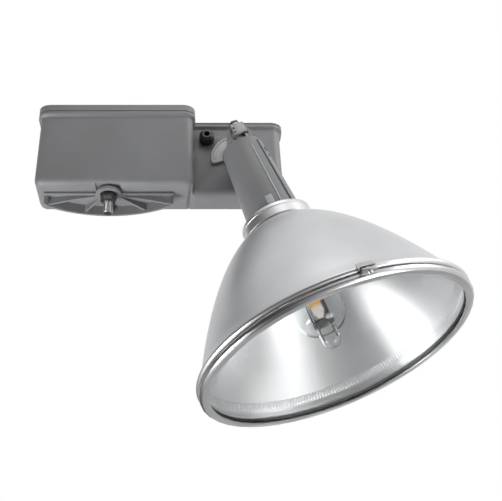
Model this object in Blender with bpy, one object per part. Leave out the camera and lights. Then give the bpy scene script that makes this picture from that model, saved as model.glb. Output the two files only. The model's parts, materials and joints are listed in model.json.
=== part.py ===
"""Area floodlight: ballast housing on a fan base, with a tilting lamp head.

Metres, +Z up. The origin is on the crossarm bolt's axis, on the seat under the fan base.
The housing swivels about the bolt, the lamp head tilts about the knuckle axis, and the
lens door is hinged on the reflector's rim and held shut by a captive screw.
"""
import math

import bmesh
import bpy
from mathutils import Matrix, Vector

MM = 0.001
GAP = 0.3 * MM
FACETS = 32

# Ballast housing: an L-shaped casting, open at the top
HOUSING_LEFT = -171 * MM
HOUSING_STEP = 199 * MM
HOUSING_RIGHT = 410 * MM
HOUSING_FRONT = -41 * MM
KNUCKLE_WALL = 13 * MM
HOUSING_BACK = 93 * MM
HOUSING_BOTTOM = 8 * MM
HOUSING_HEIGHT = 199 * MM
HOUSING_WALL = 4 * MM
HOUSING_FLOOR = 8 * MM
BOTTOM_ROUND = 18 * MM
SIDE_DRAFT = math.radians(-1.3)
FRONT_DRAFT = math.radians(-1.5)
CORNER_RADIUS = 20 * MM
INNER_RADIUS = 3 * MM
FLANGE_OUT = 7 * MM
FLANGE_THICK = 7 * MM
COVER_THICK = 3 * MM
COVER_CROWN = 5 * MM
COVER_RAISED = 15 * MM
GASKET_THICK = 1.4 * MM
GASKET_WIDTH = 6 * MM
BOLT_NOTCH_RADIUS = 29 * MM
BOLT_NOTCH_DEPTH = 4.5 * MM
COVER_SCREW_RADIUS = 5.5 * MM
COVER_SCREW_HEAD = 4 * MM

# Fan base and the crossarm bolt
FAN_HALF = 150 * MM
FAN_SIDE_Y = 17 * MM
FAN_MIDDLE_Y = 64 * MM
FAN_RIM_WALL = 6 * MM
FAN_TOP = HOUSING_BOTTOM - GAP
FAN_FLOOR = 2 * MM
FAN_DEPTH = 20 * MM
FAN_RIB_WIDTH = 6 * MM
FAN_RIB_ANGLES = (6, 28, 85, 138, 173)
FAN_FRONT = 2 * MM
SEAT_RECESS = 3.6 * MM
HUB_RADIUS = 30 * MM
BOLT_DIAMETER = 20 * MM
BOLT_REACH = 50 * MM
BOLT_HEAD_FLATS = 32 * MM
BOLT_HEAD_THICK = 13 * MM
NUT_THICK = 20 * MM
WASHER_RADIUS = 19 * MM
WASHER_THICK = 3 * MM
BOLT_CLEARANCE = 0.6 * MM

# Knuckle: the tilt axis rises towards the front by KNUCKLE_LEAN
NECK_INSIDE = -30 * MM
KNUCKLE_X = 303 * MM
KNUCKLE_Z = HOUSING_BOTTOM + HOUSING_HEIGHT - 93 * MM
HEAD_OFFSET = 63 * MM
KNUCKLE_LEAN = math.radians(-4.6)
HEAD_TILT = math.radians(18.9)
BOSS_RADIUS = 34 * MM
BOSS_FACE = 51 * MM
NECK_RADIUS = 28.5 * MM
KNUCKLE_TOP = 30 * MM
PIVOT_RADIUS = 14 * MM
PIVOT_BORE = 8 * MM
PIVOT_NUT_FLATS = 41 * MM
PIVOT_NUT_THICK = 10 * MM
SCALE_RADIUS = 64 * MM
SCALE_WIDTH = 15 * MM
SCALE_THICK = 4 * MM
SCALE_START = math.radians(20)
SCALE_END = math.radians(196)
SCALE_TICKS = 11

# Socket housing on the head, in the head's frame
SOCKET_TOP = -18.5 * MM
SOCKET_SHOULDER = -30 * MM
SOCKET_TOP_RADIUS = 49 * MM
SOCKET_END = 232 * MM
SOCKET_END_RADIUS = 62 * MM
SOCKET_WALL = 4 * MM
SOCKET_STEPS = 32
SEAM_WIDTH = 5 * MM
SEAM_PROUD = 3 * MM
SEAM_ANGLES = (-52, -4)

# Clamp on top of the knuckle, which locks the tilt against the scale
CLAMP_X = 10 * MM
CLAMP_BACK = 5 * MM
CLAMP_WIDTH = 30 * MM
CLAMP_DEPTH = 28 * MM
CLAMP_HEIGHT = 20 * MM
CLAMP_BOLT_DIAMETER = 14 * MM
CLAMP_HEAD_FLATS = 22 * MM
CLAMP_HEAD_THICK = 9 * MM

# Reflector: a spun paraboloid with a rolled rim
REFLECTOR_RADIUS = 300 * MM
REFLECTOR_FOCUS = 67 * MM
REFLECTOR_VERTEX = 247 * MM
REFLECTOR_NECK = 72 * MM
REFLECTOR_SHEET = 2.5 * MM
RIM_BEAD = 6.5 * MM
RIM_PLANE = REFLECTOR_VERTEX + (REFLECTOR_RADIUS - 2 * RIM_BEAD) ** 2 / (4 * REFLECTOR_FOCUS) + 2 * RIM_BEAD
COLLAR_RADIUS = 80 * MM
COLLAR_HEIGHT = 16 * MM
COLLAR_SEAL = 2 * MM

# Lens door
DOOR_THICK = 15 * MM
DOOR_INNER = REFLECTOR_RADIUS - 20 * MM
DOOR_OUTER = REFLECTOR_RADIUS - 1 * MM
LENS_THICK = 4 * MM
LENS_SAG = 14 * MM
LENS_LIP = 6 * MM
DOOR_GAP = 1.6 * MM
HINGE_PIN_RADIUS = 2 * MM
HINGE_BARREL_RADIUS = 4.3 * MM
HINGE_OUT = 2 * MM
HINGE_LENGTH = 36 * MM
HINGE_PLATE = 2.4 * MM
CATCH_ANGLE = math.radians(-86)
CATCH_WIDTH = 34 * MM
CATCH_REACH = 12 * MM
CATCH_THICK = 2.5 * MM
CATCH_SCREW_RADIUS = 2.5 * MM
RIM_STEPS = 48

# Mogul socket and lamp, on the reflector's axis
LAMP_CONTACT = 271 * MM
LAMP_LENGTH = 292 * MM
BULB_RADIUS = 57 * MM
BULB_WIDEST = LAMP_LENGTH * 0.67
BULB_NECK_RADIUS = 25 * MM
BULB_TIP_RADIUS = 21 * MM
BULB_GLASS = 1.5 * MM
LAMP_BASE_RADIUS = 19.5 * MM
LAMP_BASE_LENGTH = 42 * MM
SOCKET_BODY_RADIUS = 31 * MM
SOCKET_BODY_LENGTH = 92 * MM
ARC_TUBE_RADIUS = 12 * MM
ARC_TUBE_LENGTH = 78 * MM
ARC_TUBE_CENTRE = LAMP_LENGTH * 0.61
SHROUD_RADIUS = 19 * MM
SHROUD_LENGTH = LAMP_LENGTH * 0.356
SHROUD_WALL = 2 * MM
FRAME_WIRE = 1.5 * MM
FRAME_FOOT = 46 * MM

# Cable gland on the knuckle wall
GLAND_X = 229 * MM
GLAND_Z = HOUSING_BOTTOM + HOUSING_HEIGHT - 42 * MM
GLAND_RADIUS = 18 * MM
GLAND_HEX_FLATS = 39 * MM
GLAND_REACH = 26 * MM
GLAND_BORE = 6.5 * MM

# Electrical gear inside the housing
BALLAST_CENTRE = (112 * MM, 26 * MM)
BALLAST_SIZE = (110 * MM, 64 * MM, 104 * MM)
COIL_OUT = 14 * MM
CAPACITOR_RADIUS = 26 * MM
CAPACITOR_LENGTH = 120 * MM
CAPACITOR_X = (-124 * MM, -68 * MM)
CAPACITOR_Y = 26 * MM
IGNITOR_SIZE = (64 * MM, 36 * MM, 30 * MM)
IGNITOR_AT = (246 * MM, 52 * MM)
TERMINAL_SIZE = (86 * MM, 26 * MM, 24 * MM)
TERMINAL_AT = (340 * MM, 52 * MM)

MATERIALS = {
    "painted_casting": ((0.17, 0.17, 0.18), 0.0, 0.5),
    "satin_aluminium": ((0.72, 0.73, 0.74), 1.0, 0.35),
    "bright_aluminium": ((0.86, 0.86, 0.87), 1.0, 0.18),
    "dark_zinc": ((0.06, 0.06, 0.065), 0.9, 0.45),
    "zinc_plate": ((0.55, 0.55, 0.54), 0.9, 0.35),
    "black_rubber": ((0.015, 0.015, 0.016), 0.0, 0.7),
    "black_plastic": ((0.02, 0.02, 0.022), 0.0, 0.45),
    "porcelain": ((0.82, 0.8, 0.76), 0.0, 0.3),
    "brass": ((0.75, 0.55, 0.25), 1.0, 0.35),
    "clear_glass": ((0.95, 0.97, 0.97), 0.0, 0.03),
    "core_steel": ((0.12, 0.11, 0.11), 0.8, 0.55),
    "copper_coil": ((0.45, 0.2, 0.08), 0.6, 0.4),
    "white_card": ((0.75, 0.74, 0.7), 0.0, 0.7),
    "nickel_wire": ((0.5, 0.48, 0.45), 1.0, 0.3),
}


def clear_scene():
    for item in list(bpy.data.objects):
        bpy.data.objects.remove(item, do_unlink=True)


def material(name):
    made = bpy.data.materials.get(name)
    if made:
        return made
    colour, metallic, roughness = MATERIALS[name]
    made = bpy.data.materials.new(name)
    made.use_nodes = True
    shader = made.node_tree.nodes["Principled BSDF"]
    shader.inputs["Base Color"].default_value = (*colour, 1.0)
    shader.inputs["Metallic"].default_value = metallic
    shader.inputs["Roughness"].default_value = roughness
    if name == "clear_glass":
        shader.inputs["Transmission Weight"].default_value = 1.0
    return made


def finish_mesh(bm, name):
    bmesh.ops.remove_doubles(bm, verts=bm.verts, dist=1e-6)
    bmesh.ops.recalc_face_normals(bm, faces=bm.faces)
    mesh = bpy.data.meshes.new(name)
    bm.to_mesh(mesh)
    bm.free()
    mesh.shade_smooth()
    mesh.set_sharp_from_angle(angle=math.radians(35))
    return mesh


def add_piece(name, bm, finish, parent, frame=None):
    """One named object: its mesh is made in `frame` and stored in the parent's own frame."""
    bm.transform(parent.matrix_world.inverted() @ (frame or Matrix.Identity(4)))
    mesh = finish_mesh(bm, name)
    mesh.materials.append(material(finish))
    piece = bpy.data.objects.new(name, mesh)
    bpy.context.scene.collection.objects.link(piece)
    piece.parent = parent
    return piece


def add_cutter(name, bm, parent, frame=None):
    piece = add_piece(name, bm, "zinc_plate", parent, frame)
    piece.hide_render = True
    piece.display_type = "WIRE"
    return piece


def boolean(piece, other, operation="DIFFERENCE"):
    cut = piece.modifiers.new(operation.title() + "_" + other.name, "BOOLEAN")
    cut.operation = operation
    cut.solver = "EXACT"
    cut.object = other


def turned(profile, steps=FACETS, closed=False):
    """A solid of revolution about Z from (radius, height) points, run round once."""
    bm = bmesh.new()
    rings = []
    for radius, height in profile:
        if radius < 1e-7:
            rings.append([bm.verts.new((0, 0, height))])
            continue
        ring = []
        for k in range(steps):
            angle = 2 * math.pi * k / steps
            ring.append(bm.verts.new((radius * math.cos(angle), radius * math.sin(angle), height)))
        rings.append(ring)
    pairs = list(zip(rings, rings[1:]))
    if closed:
        pairs.append((rings[-1], rings[0]))
    for low, high in pairs:
        for k in range(steps):
            after = (k + 1) % steps
            if len(low) == 1:
                bm.faces.new((low[0], high[k], high[after]))
            elif len(high) == 1:
                bm.faces.new((low[k], low[after], high[0]))
            else:
                bm.faces.new((low[k], low[after], high[after], high[k]))
    return bm


def lofted(rings):
    """A closed solid through rings of equal length, with its first and last ring capped."""
    bm = bmesh.new()
    rows = [[bm.verts.new(point) for point in ring] for ring in rings]
    count = len(rows[0])
    for low, high in zip(rows, rows[1:]):
        for k in range(count):
            after = (k + 1) % count
            bm.faces.new((low[k], low[after], high[after], high[k]))
    bm.faces.new(list(reversed(rows[0])))
    bm.faces.new(rows[-1])
    return bm


def ring_loft(rings):
    """A closed ring-like solid: the last ring of points joins back to the first."""
    bm = bmesh.new()
    rows = [[bm.verts.new(point) for point in ring] for ring in rings]
    count = len(rows[0])
    for low, high in zip(rows, rows[1:] + rows[:1]):
        for k in range(count):
            after = (k + 1) % count
            bm.faces.new((low[k], low[after], high[after], high[k]))
    return bm


def box(size, centre=(0, 0, 0), round_edges=0.0):
    bm = bmesh.new()
    bmesh.ops.create_cube(bm, size=1.0)
    bmesh.ops.scale(bm, vec=size, verts=bm.verts)
    if round_edges:
        bmesh.ops.bevel(bm, geom=bm.edges, offset=round_edges, segments=2, profile=0.5, affect="EDGES")
    bmesh.ops.translate(bm, vec=centre, verts=bm.verts)
    return bm


def cylinder(radius, low, high, steps=FACETS, bore=0.0, bevel=0.0):
    """A cylinder along Z, with an optional bore and small bevels at both ends."""
    outside = [(radius - bevel, low)]
    if bevel:
        outside += [(radius, low + bevel), (radius, high - bevel)]
    else:
        outside = [(radius, low)]
    outside.append((radius - bevel, high))
    if bore:
        return turned([(bore, low)] + outside + [(bore, high)], steps, closed=True)
    return turned([(0, low)] + outside + [(0, high)], steps)


def hexagon(flats, low, high, bore=0.0, chamfer=0.0):
    """A hexagon head or nut along Z, measured across its flats."""
    corner = flats / math.sqrt(3)
    heights = [low, high]
    radii = [corner, corner]
    if chamfer:
        heights = [low, low + chamfer, high - chamfer, high]
        radii = [corner - chamfer, corner, corner, corner - chamfer]
    if bore:
        profile = [(bore, low)] + list(zip(radii, heights)) + [(bore, high)]
        return turned_hex(profile, 24)
    profile = [(0, low)] + list(zip(radii, heights)) + [(0, high)]
    return turned(profile, 6)


def turned_hex(profile, steps):
    """A hexagon outside with a round bore: corner radii are drawn in to the flats."""
    bm = bmesh.new()
    bore = profile[0][0]
    rings = []
    for radius, height in profile:
        ring = []
        for k in range(steps):
            angle = 2 * math.pi * k / steps
            reach = radius
            if radius > bore:
                off_flat = (angle % (math.pi / 3)) - math.pi / 6
                reach = radius * math.cos(math.pi / 6) / math.cos(off_flat)
            ring.append(bm.verts.new((reach * math.cos(angle), reach * math.sin(angle), height)))
        rings.append(ring)
    for low, high in zip(rings, rings[1:] + rings[:1]):
        for k in range(steps):
            after = (k + 1) % steps
            bm.faces.new((low[k], low[after], high[after], high[k]))
    return bm


def at(x, y, z):
    return Matrix.Translation((x, y, z))


def empty(name, frame, parent=None):
    joint = bpy.data.objects.new(name, None)
    joint.empty_display_size = 0.05
    bpy.context.scene.collection.objects.link(joint)
    joint.parent = parent
    joint.matrix_world = frame
    bpy.context.view_layer.update()
    return joint


def corner_arc(before, corner, after, radius, steps=4):
    """Points round one corner of an outline, from its entry to its exit."""
    into = (corner - before).normalized()
    out = (after - corner).normalized()
    turn = into.angle_signed(out)
    reach = radius * math.tan(abs(turn) / 2)
    start = corner - into * reach
    side = Vector((into.y, -into.x)) if turn > 0 else Vector((-into.y, into.x))
    centre = start + side * radius
    points = []
    for k in range(steps + 1):
        swing = -turn * k / steps
        arm = start - centre
        points.append(centre + Vector((
            arm.x * math.cos(swing) - arm.y * math.sin(swing),
            arm.x * math.sin(swing) + arm.y * math.cos(swing),
        )))
    return points


def housing_outline(height, grow=0.0):
    """The L-shaped outline at a height above the housing's bottom, moved out by `grow`."""
    side = height * math.tan(SIDE_DRAFT) + grow
    front = height * math.tan(FRONT_DRAFT) + grow
    left, step, right = HOUSING_LEFT - side, HOUSING_STEP + side, HOUSING_RIGHT + side
    near, inner, back = HOUSING_FRONT - front, KNUCKLE_WALL - front, HOUSING_BACK + side
    corners = [Vector(point) for point in (
        (left, near), (step, near), (step, inner), (right, inner), (right, back), (left, back))]
    points = []
    for k, corner in enumerate(corners):
        radius = INNER_RADIUS - grow if k == 2 else CORNER_RADIUS + grow
        radius = max(radius, 1.5 * MM)
        points += corner_arc(corners[k - 1], corner, corners[(k + 1) % 6], radius)
    level = HOUSING_BOTTOM + height
    return [(point.x, point.y, level) for point in points]


def raise_ring(ring, height):
    return [(x, y, z + height) for x, y, z in ring]


def knuckle_frame():
    """The head's frame at zero tilt: origin on the tilt axis, Y along it, into the wall."""
    wall = KNUCKLE_WALL - (KNUCKLE_Z - HOUSING_BOTTOM) * math.tan(FRONT_DRAFT)
    return at(KNUCKLE_X, wall - HEAD_OFFSET, KNUCKLE_Z) @ Matrix.Rotation(KNUCKLE_LEAN, 4, "X")


def head_frame():
    return knuckle_frame() @ Matrix.Rotation(-HEAD_TILT, 4, "Y")


def sector(inner, outer, start, end, low, high, steps=24):
    """A flat ring sector along Z, as one closed solid."""
    rings = []
    for k in range(steps + 1):
        angle = start + (end - start) * k / steps
        c, s = math.cos(angle), math.sin(angle)
        rings.append([
            (inner * c, inner * s, low), (outer * c, outer * s, low),
            (outer * c, outer * s, high), (inner * c, inner * s, high),
        ])
    return lofted(rings)


def fan_outline(grow, level):
    """The fan's plan: a straight front, two short sides and a wide arc, moved out by `grow`."""
    rise = FAN_MIDDLE_Y - FAN_SIDE_Y
    radius = (FAN_HALF * FAN_HALF + rise * rise) / (2 * rise)
    centre = FAN_MIDDLE_Y - radius
    half, reach = FAN_HALF + grow, radius + grow
    points = [(-half, -FAN_FRONT - grow, level), (half, -FAN_FRONT - grow, level)]
    swing = math.asin(half / reach)
    steps = 20
    for k in range(steps + 1):
        angle = swing * (1 - 2 * k / steps)
        points.append((reach * math.sin(angle), centre + reach * math.cos(angle), level))
    return points


def fan_reach(angle):
    """How far a rib at this angle runs from the bolt to the middle of the fan's rim."""
    inside = fan_outline(-FAN_RIM_WALL / 2, 0)[1:]
    direction = Vector((math.cos(angle), math.sin(angle)))
    for start, end in zip(inside, inside[1:] + [fan_outline(-FAN_RIM_WALL / 2, 0)[0]]):
        before = direction.x * start[1] - direction.y * start[0]
        after = direction.x * end[1] - direction.y * end[0]
        if before <= 0 < after:
            share = before / (before - after)
            return math.hypot(start[0] + (end[0] - start[0]) * share, start[1] + (end[1] - start[1]) * share)
    return FAN_HALF


def make_fan_base(root):
    """The fixed casting: a ribbed fan with a rim and a hub for the crossarm bolt."""
    rings = [
        fan_outline(-FAN_RIM_WALL - 2 * MM, FAN_FLOOR), fan_outline(-FAN_RIM_WALL, -FAN_DEPTH),
        fan_outline(0, -FAN_DEPTH), fan_outline(0, FAN_TOP),
    ]
    fan = add_piece("fan_base", lofted(rings), "painted_casting", root)
    half = FAN_RIB_WIDTH / 2
    for k, degrees in enumerate(FAN_RIB_ANGLES):
        angle = math.radians(degrees)
        start, end = HUB_RADIUS - 4 * MM, fan_reach(angle)
        rings = [[(reach, -half, top), (reach, half, top), (reach, half, low), (reach, -half, low)]
                 for reach, top, low in ((start, 4 * MM, 1 * MM), (end, 4 * MM, -FAN_DEPTH + 3 * MM))]
        rib = add_cutter(f"rib_{k + 1}", lofted(rings), root, Matrix.Rotation(angle, 4, "Z"))
        boolean(fan, rib, "UNION")
    front_low, front_high = -FAN_DEPTH - 5 * MM, FAN_FLOOR + 0.5 * MM
    front = box((3 * FAN_HALF, 20 * MM, front_high - front_low),
                (0, -FAN_FRONT + FAN_RIM_WALL - 7 * MM, (front_high + front_low) / 2))
    boolean(fan, add_cutter("cut_fan_front", front, root))
    boolean(fan, add_cutter("fan_hub", cylinder(HUB_RADIUS, 0, FAN_TOP - 0.4 * MM), root), "UNION")
    seat = cylinder(WASHER_RADIUS + BOLT_CLEARANCE, -5 * MM, SEAT_RECESS)
    boolean(fan, add_cutter("cut_washer_seat", seat, root))
    bore = cylinder(BOLT_DIAMETER / 2 + BOLT_CLEARANCE, -0.1, 0.1)
    boolean(fan, add_cutter("cut_fan_bore", bore, root))
    return fan


def make_crossarm_bolt(root):
    """A hexagon bolt: its head is inside the housing and its thread hangs below the nut."""
    radius = BOLT_DIAMETER / 2
    seat = HOUSING_BOTTOM + HOUSING_FLOOR + WASHER_THICK + 2 * GAP
    bolt = add_piece("mounting_bolt", hexagon(BOLT_HEAD_FLATS, seat, seat + BOLT_HEAD_THICK), "dark_zinc", root)
    shank = cylinder(radius, -BOLT_REACH, seat + 1 * MM, bevel=1.2 * MM)
    boolean(bolt, add_cutter("bolt_shank", shank, root), "UNION")
    bore = radius + GAP
    top = SEAT_RECESS - GAP
    washer = cylinder(WASHER_RADIUS, top - WASHER_THICK, top, bore=bore)
    add_piece("flat_washer", washer, "dark_zinc", root)
    head_washer_top = seat - GAP
    head_washer = cylinder(WASHER_RADIUS, head_washer_top - WASHER_THICK, head_washer_top, bore=bore)
    add_piece("swivel_washer", head_washer, "dark_zinc", root)
    nut_top = top - WASHER_THICK - GAP
    nut = hexagon(BOLT_HEAD_FLATS, nut_top - NUT_THICK, nut_top, bore=bore, chamfer=1.5 * MM)
    add_piece("hex_nut", nut, "dark_zinc", root)


def make_housing(body):
    """The ballast housing casting: drafted walls, a rounded bottom edge and a flange."""
    rings = []
    for k in range(5):
        turn = math.pi / 2 * k / 4
        height = BOTTOM_ROUND * (1 - math.cos(turn))
        rings.append(housing_outline(height, -BOTTOM_ROUND * (1 - math.sin(turn))))
    flange_low = HOUSING_HEIGHT - FLANGE_THICK
    rings.append(housing_outline(flange_low - FLANGE_OUT * 0.7))
    rings.append(housing_outline(flange_low, FLANGE_OUT))
    rings.append(housing_outline(HOUSING_HEIGHT, FLANGE_OUT))
    rings.append(housing_outline(HOUSING_HEIGHT, -HOUSING_WALL))
    rings.append(housing_outline(BOTTOM_ROUND, -HOUSING_WALL))
    rings.append(housing_outline(HOUSING_FLOOR, -BOTTOM_ROUND))
    housing = add_piece("ballast_housing", lofted(rings), "painted_casting", body)

    boss_high = HEAD_OFFSET + HOUSING_WALL + 8 * MM
    boss = cylinder(BOSS_RADIUS, BOSS_FACE, boss_high, bevel=1.5 * MM)
    turn_y = Matrix.Rotation(-math.pi / 2, 4, "X")
    boolean(housing, add_cutter("knuckle_boss", boss, body, knuckle_frame() @ turn_y), "UNION")

    notch_top = HOUSING_BOTTOM + BOLT_NOTCH_DEPTH
    reach = -HOUSING_FRONT + 30 * MM
    slot = box((2 * BOLT_NOTCH_RADIUS, reach, 2 * BOLT_NOTCH_DEPTH),
               (0, -reach / 2, notch_top - BOLT_NOTCH_DEPTH))
    boolean(housing, add_cutter("cut_bolt_slot", slot, body))
    round_end = cylinder(BOLT_NOTCH_RADIUS, notch_top - 2 * BOLT_NOTCH_DEPTH, notch_top)
    boolean(housing, add_cutter("cut_bolt_round", round_end, body))
    bore = cylinder(BOLT_DIAMETER / 2 + BOLT_CLEARANCE, -0.02, 0.05)
    boolean(housing, add_cutter("cut_bolt_bore", bore, body))
    stem = cylinder(PIVOT_RADIUS + BOLT_CLEARANCE, BOSS_FACE - 0.02, boss_high + 0.02)
    boolean(housing, add_cutter("cut_pivot_bore", stem, body, knuckle_frame() @ turn_y))
    gland = cylinder(GLAND_RADIUS * 0.7 + GAP, -0.05, 0.05)
    frame = gland_frame()
    boolean(housing, add_cutter("cut_gland_hole", gland, body, frame))


def gland_frame():
    """On the knuckle wall's outer face, with Z pointing out of the wall."""
    height = GLAND_Z - HOUSING_BOTTOM
    wall = KNUCKLE_WALL - height * math.tan(FRONT_DRAFT)
    return at(GLAND_X, wall, GLAND_Z) @ Matrix.Rotation(math.pi / 2 + FRONT_DRAFT, 4, "X")


def make_cover(body):
    """The lid, its gasket and the screws round its edge."""
    top = HOUSING_HEIGHT
    seal_low = GAP
    seal = [
        raise_ring(housing_outline(top, FLANGE_OUT - 2 * MM), seal_low),
        raise_ring(housing_outline(top, FLANGE_OUT - 2 * MM), seal_low + GASKET_THICK),
        raise_ring(housing_outline(top, FLANGE_OUT - 2 * MM - GASKET_WIDTH), seal_low + GASKET_THICK),
        raise_ring(housing_outline(top, FLANGE_OUT - 2 * MM - GASKET_WIDTH), seal_low),
    ]
    add_piece("cover_gasket", ring_loft(seal), "black_rubber", body)
    low = seal_low + GASKET_THICK + GAP
    lid = [
        raise_ring(housing_outline(top, -HOUSING_WALL), low),
        raise_ring(housing_outline(top, FLANGE_OUT), low),
        raise_ring(housing_outline(top, FLANGE_OUT), low + COVER_THICK - 1 * MM),
        raise_ring(housing_outline(top, FLANGE_OUT - 1 * MM), low + COVER_THICK),
        raise_ring(housing_outline(top, -10 * MM), low + COVER_THICK),
        raise_ring(housing_outline(top, -22 * MM), low + COVER_THICK + COVER_CROWN),
    ]
    cover = add_piece("housing_cover", lofted(lid), "painted_casting", body)
    raised = cover_raised_part(HOUSING_BOTTOM + top + low)
    boolean(cover, add_cutter("raised_part", raised, body), "UNION")
    seat = HOUSING_BOTTOM + top + low + COVER_THICK + GAP
    grow = top * math.tan(SIDE_DRAFT)
    inset = 2.5 * MM
    left, right = HOUSING_LEFT - grow + inset, HOUSING_RIGHT + grow - inset
    step = HOUSING_STEP + grow - inset
    front = HOUSING_FRONT - top * math.tan(FRONT_DRAFT) + inset
    inner = KNUCKLE_WALL - top * math.tan(FRONT_DRAFT) + inset
    back = HOUSING_BACK + grow - inset
    spots = [
        (left, front + 30 * MM), (left, back - 30 * MM), (step, front + 30 * MM),
        (right, (inner + back) / 2), ((step + right) / 2, back), ((left + step) / 2, back),
    ]
    for k, (x, y) in enumerate(spots):
        head = cylinder(COVER_SCREW_RADIUS, 0, COVER_SCREW_HEAD, steps=12, bevel=0.8 * MM)
        level = seat + (COVER_RAISED if x < HOUSING_STEP else 0)
        add_piece(f"cover_screw_{k + 1}", head, "zinc_plate", body, at(x, y, level))


def cover_raised_part(low):
    """The deeper part of the lid, over the ballast compartment."""
    grow = HOUSING_HEIGHT * math.tan(SIDE_DRAFT) + FLANGE_OUT - 0.4 * MM
    front = HOUSING_FRONT - HOUSING_HEIGHT * math.tan(FRONT_DRAFT) - FLANGE_OUT + 0.4 * MM
    left, right, back = HOUSING_LEFT - grow, HOUSING_STEP + grow, HOUSING_BACK + grow
    corners = [Vector(point) for point in ((left, front), (right, front), (right, back), (left, back))]
    rings = []
    for inset, level in ((0, 1 * MM), (0, COVER_THICK + COVER_RAISED - 2 * MM), (2 * MM, COVER_THICK + COVER_RAISED)):
        points = []
        for k, corner in enumerate(corners):
            arc = corner_arc(corners[k - 1], corner, corners[(k + 1) % 4], CORNER_RADIUS + FLANGE_OUT)
            points += arc
        middle = Vector(((left + right) / 2, (front + back) / 2))
        shrink = Vector((1 - 2 * inset / (right - left), 1 - 2 * inset / (back - front)))
        ring = []
        for point in points:
            away = point - middle
            ring.append((middle.x + away.x * shrink.x, middle.y + away.y * shrink.y, low + level))
        rings.append(ring)
    return lofted(rings)


def make_gland(body):
    """Cable gland: body with a hexagon, cap nut and rubber seal, with its hole open."""
    frame = gland_frame()
    stem = GLAND_RADIUS * 0.7
    profile = [
        (GLAND_BORE + 3 * MM, -12 * MM), (stem, -12 * MM), (stem, GAP), (GLAND_RADIUS, GAP),
        (GLAND_RADIUS, 6 * MM), (stem, 7 * MM), (stem, GLAND_REACH - 10 * MM),
        (GLAND_BORE + 3 * MM, GLAND_REACH - 10 * MM),
    ]
    add_piece("gland_body", turned(profile, 24, closed=True), "black_plastic", body, frame)
    cap_low = 7.5 * MM
    profile = [
        (stem + GAP, cap_low), (GLAND_RADIUS - 1 * MM, cap_low), (GLAND_RADIUS - 1 * MM, GLAND_REACH - 6 * MM),
        (GLAND_BORE + 4 * MM, GLAND_REACH), (GLAND_BORE + GAP, GLAND_REACH),
        (GLAND_BORE + GAP, GLAND_REACH - 3 * MM), (stem + GAP, GLAND_REACH - 8 * MM),
    ]
    add_piece("gland_cap", turned(profile, 24, closed=True), "black_plastic", body, frame)
    seal = cylinder(GLAND_BORE + 2.7 * MM, -6 * MM, GLAND_REACH - 7 * MM, 24, bore=GLAND_BORE)
    add_piece("gland_seal", seal, "black_rubber", body, frame)
    lock = hexagon(GLAND_HEX_FLATS, -HOUSING_WALL - 5.3 * MM, -HOUSING_WALL - 0.8 * MM, bore=stem + GAP)
    add_piece("gland_locknut", lock, "zinc_plate", body, frame)


def make_aiming_scale(body):
    """The round scale plate on the knuckle wall, concentric with the tilt axis."""
    wall = -HEAD_OFFSET
    lean = KNUCKLE_LEAN - FRONT_DRAFT
    frame = knuckle_frame() @ at(0, -wall, 0) @ Matrix.Rotation(-lean, 4, "X") @ Matrix.Rotation(math.pi / 2, 4, "X")
    low = 0.5 * MM
    scale = sector(SCALE_RADIUS - SCALE_WIDTH, SCALE_RADIUS, SCALE_START, SCALE_END, low, low + SCALE_THICK)
    plate = add_piece("aiming_scale", scale, "painted_casting", body, frame)
    for k in range(SCALE_TICKS):
        share = (k + 1) / (SCALE_TICKS + 1)
        angle = SCALE_START + (SCALE_END - SCALE_START) * share
        length = SCALE_WIDTH * (0.6 if k % 2 else 0.35)
        tick = box((length, 1.2 * MM, 1.6 * MM), (SCALE_RADIUS - length / 2 + 1 * MM, 0, low + SCALE_THICK))
        boolean(plate, add_cutter(f"tick_{k + 1}", tick, body, frame @ Matrix.Rotation(angle, 4, "Z")))


def make_pivot(body):
    """The hollow pivot stem through the knuckle, with its nut inside the housing."""
    turn_y = Matrix.Rotation(-math.pi / 2, 4, "X")
    frame = knuckle_frame() @ turn_y
    end = HEAD_OFFSET + HOUSING_WALL + 8 * MM + PIVOT_NUT_THICK + 4 * MM
    head_low = NECK_INSIDE - GAP
    profile = [
        (0, head_low - 4 * MM), (PIVOT_RADIUS + 2 * MM, head_low - 4 * MM), (PIVOT_RADIUS + 3 * MM, head_low - 3 * MM),
        (PIVOT_RADIUS + 3 * MM, head_low), (PIVOT_RADIUS, head_low), (PIVOT_RADIUS, end),
        (PIVOT_BORE, end), (PIVOT_BORE, head_low + 8 * MM), (0, head_low + 8 * MM),
    ]
    add_piece("pivot_stem", turned(profile, 24), "zinc_plate", body, frame)
    low = HEAD_OFFSET + HOUSING_WALL + 8 * MM + GAP
    nut = hexagon(PIVOT_NUT_FLATS, low, low + PIVOT_NUT_THICK, bore=PIVOT_RADIUS + GAP)
    add_piece("pivot_nut", nut, "zinc_plate", body, frame)


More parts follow.
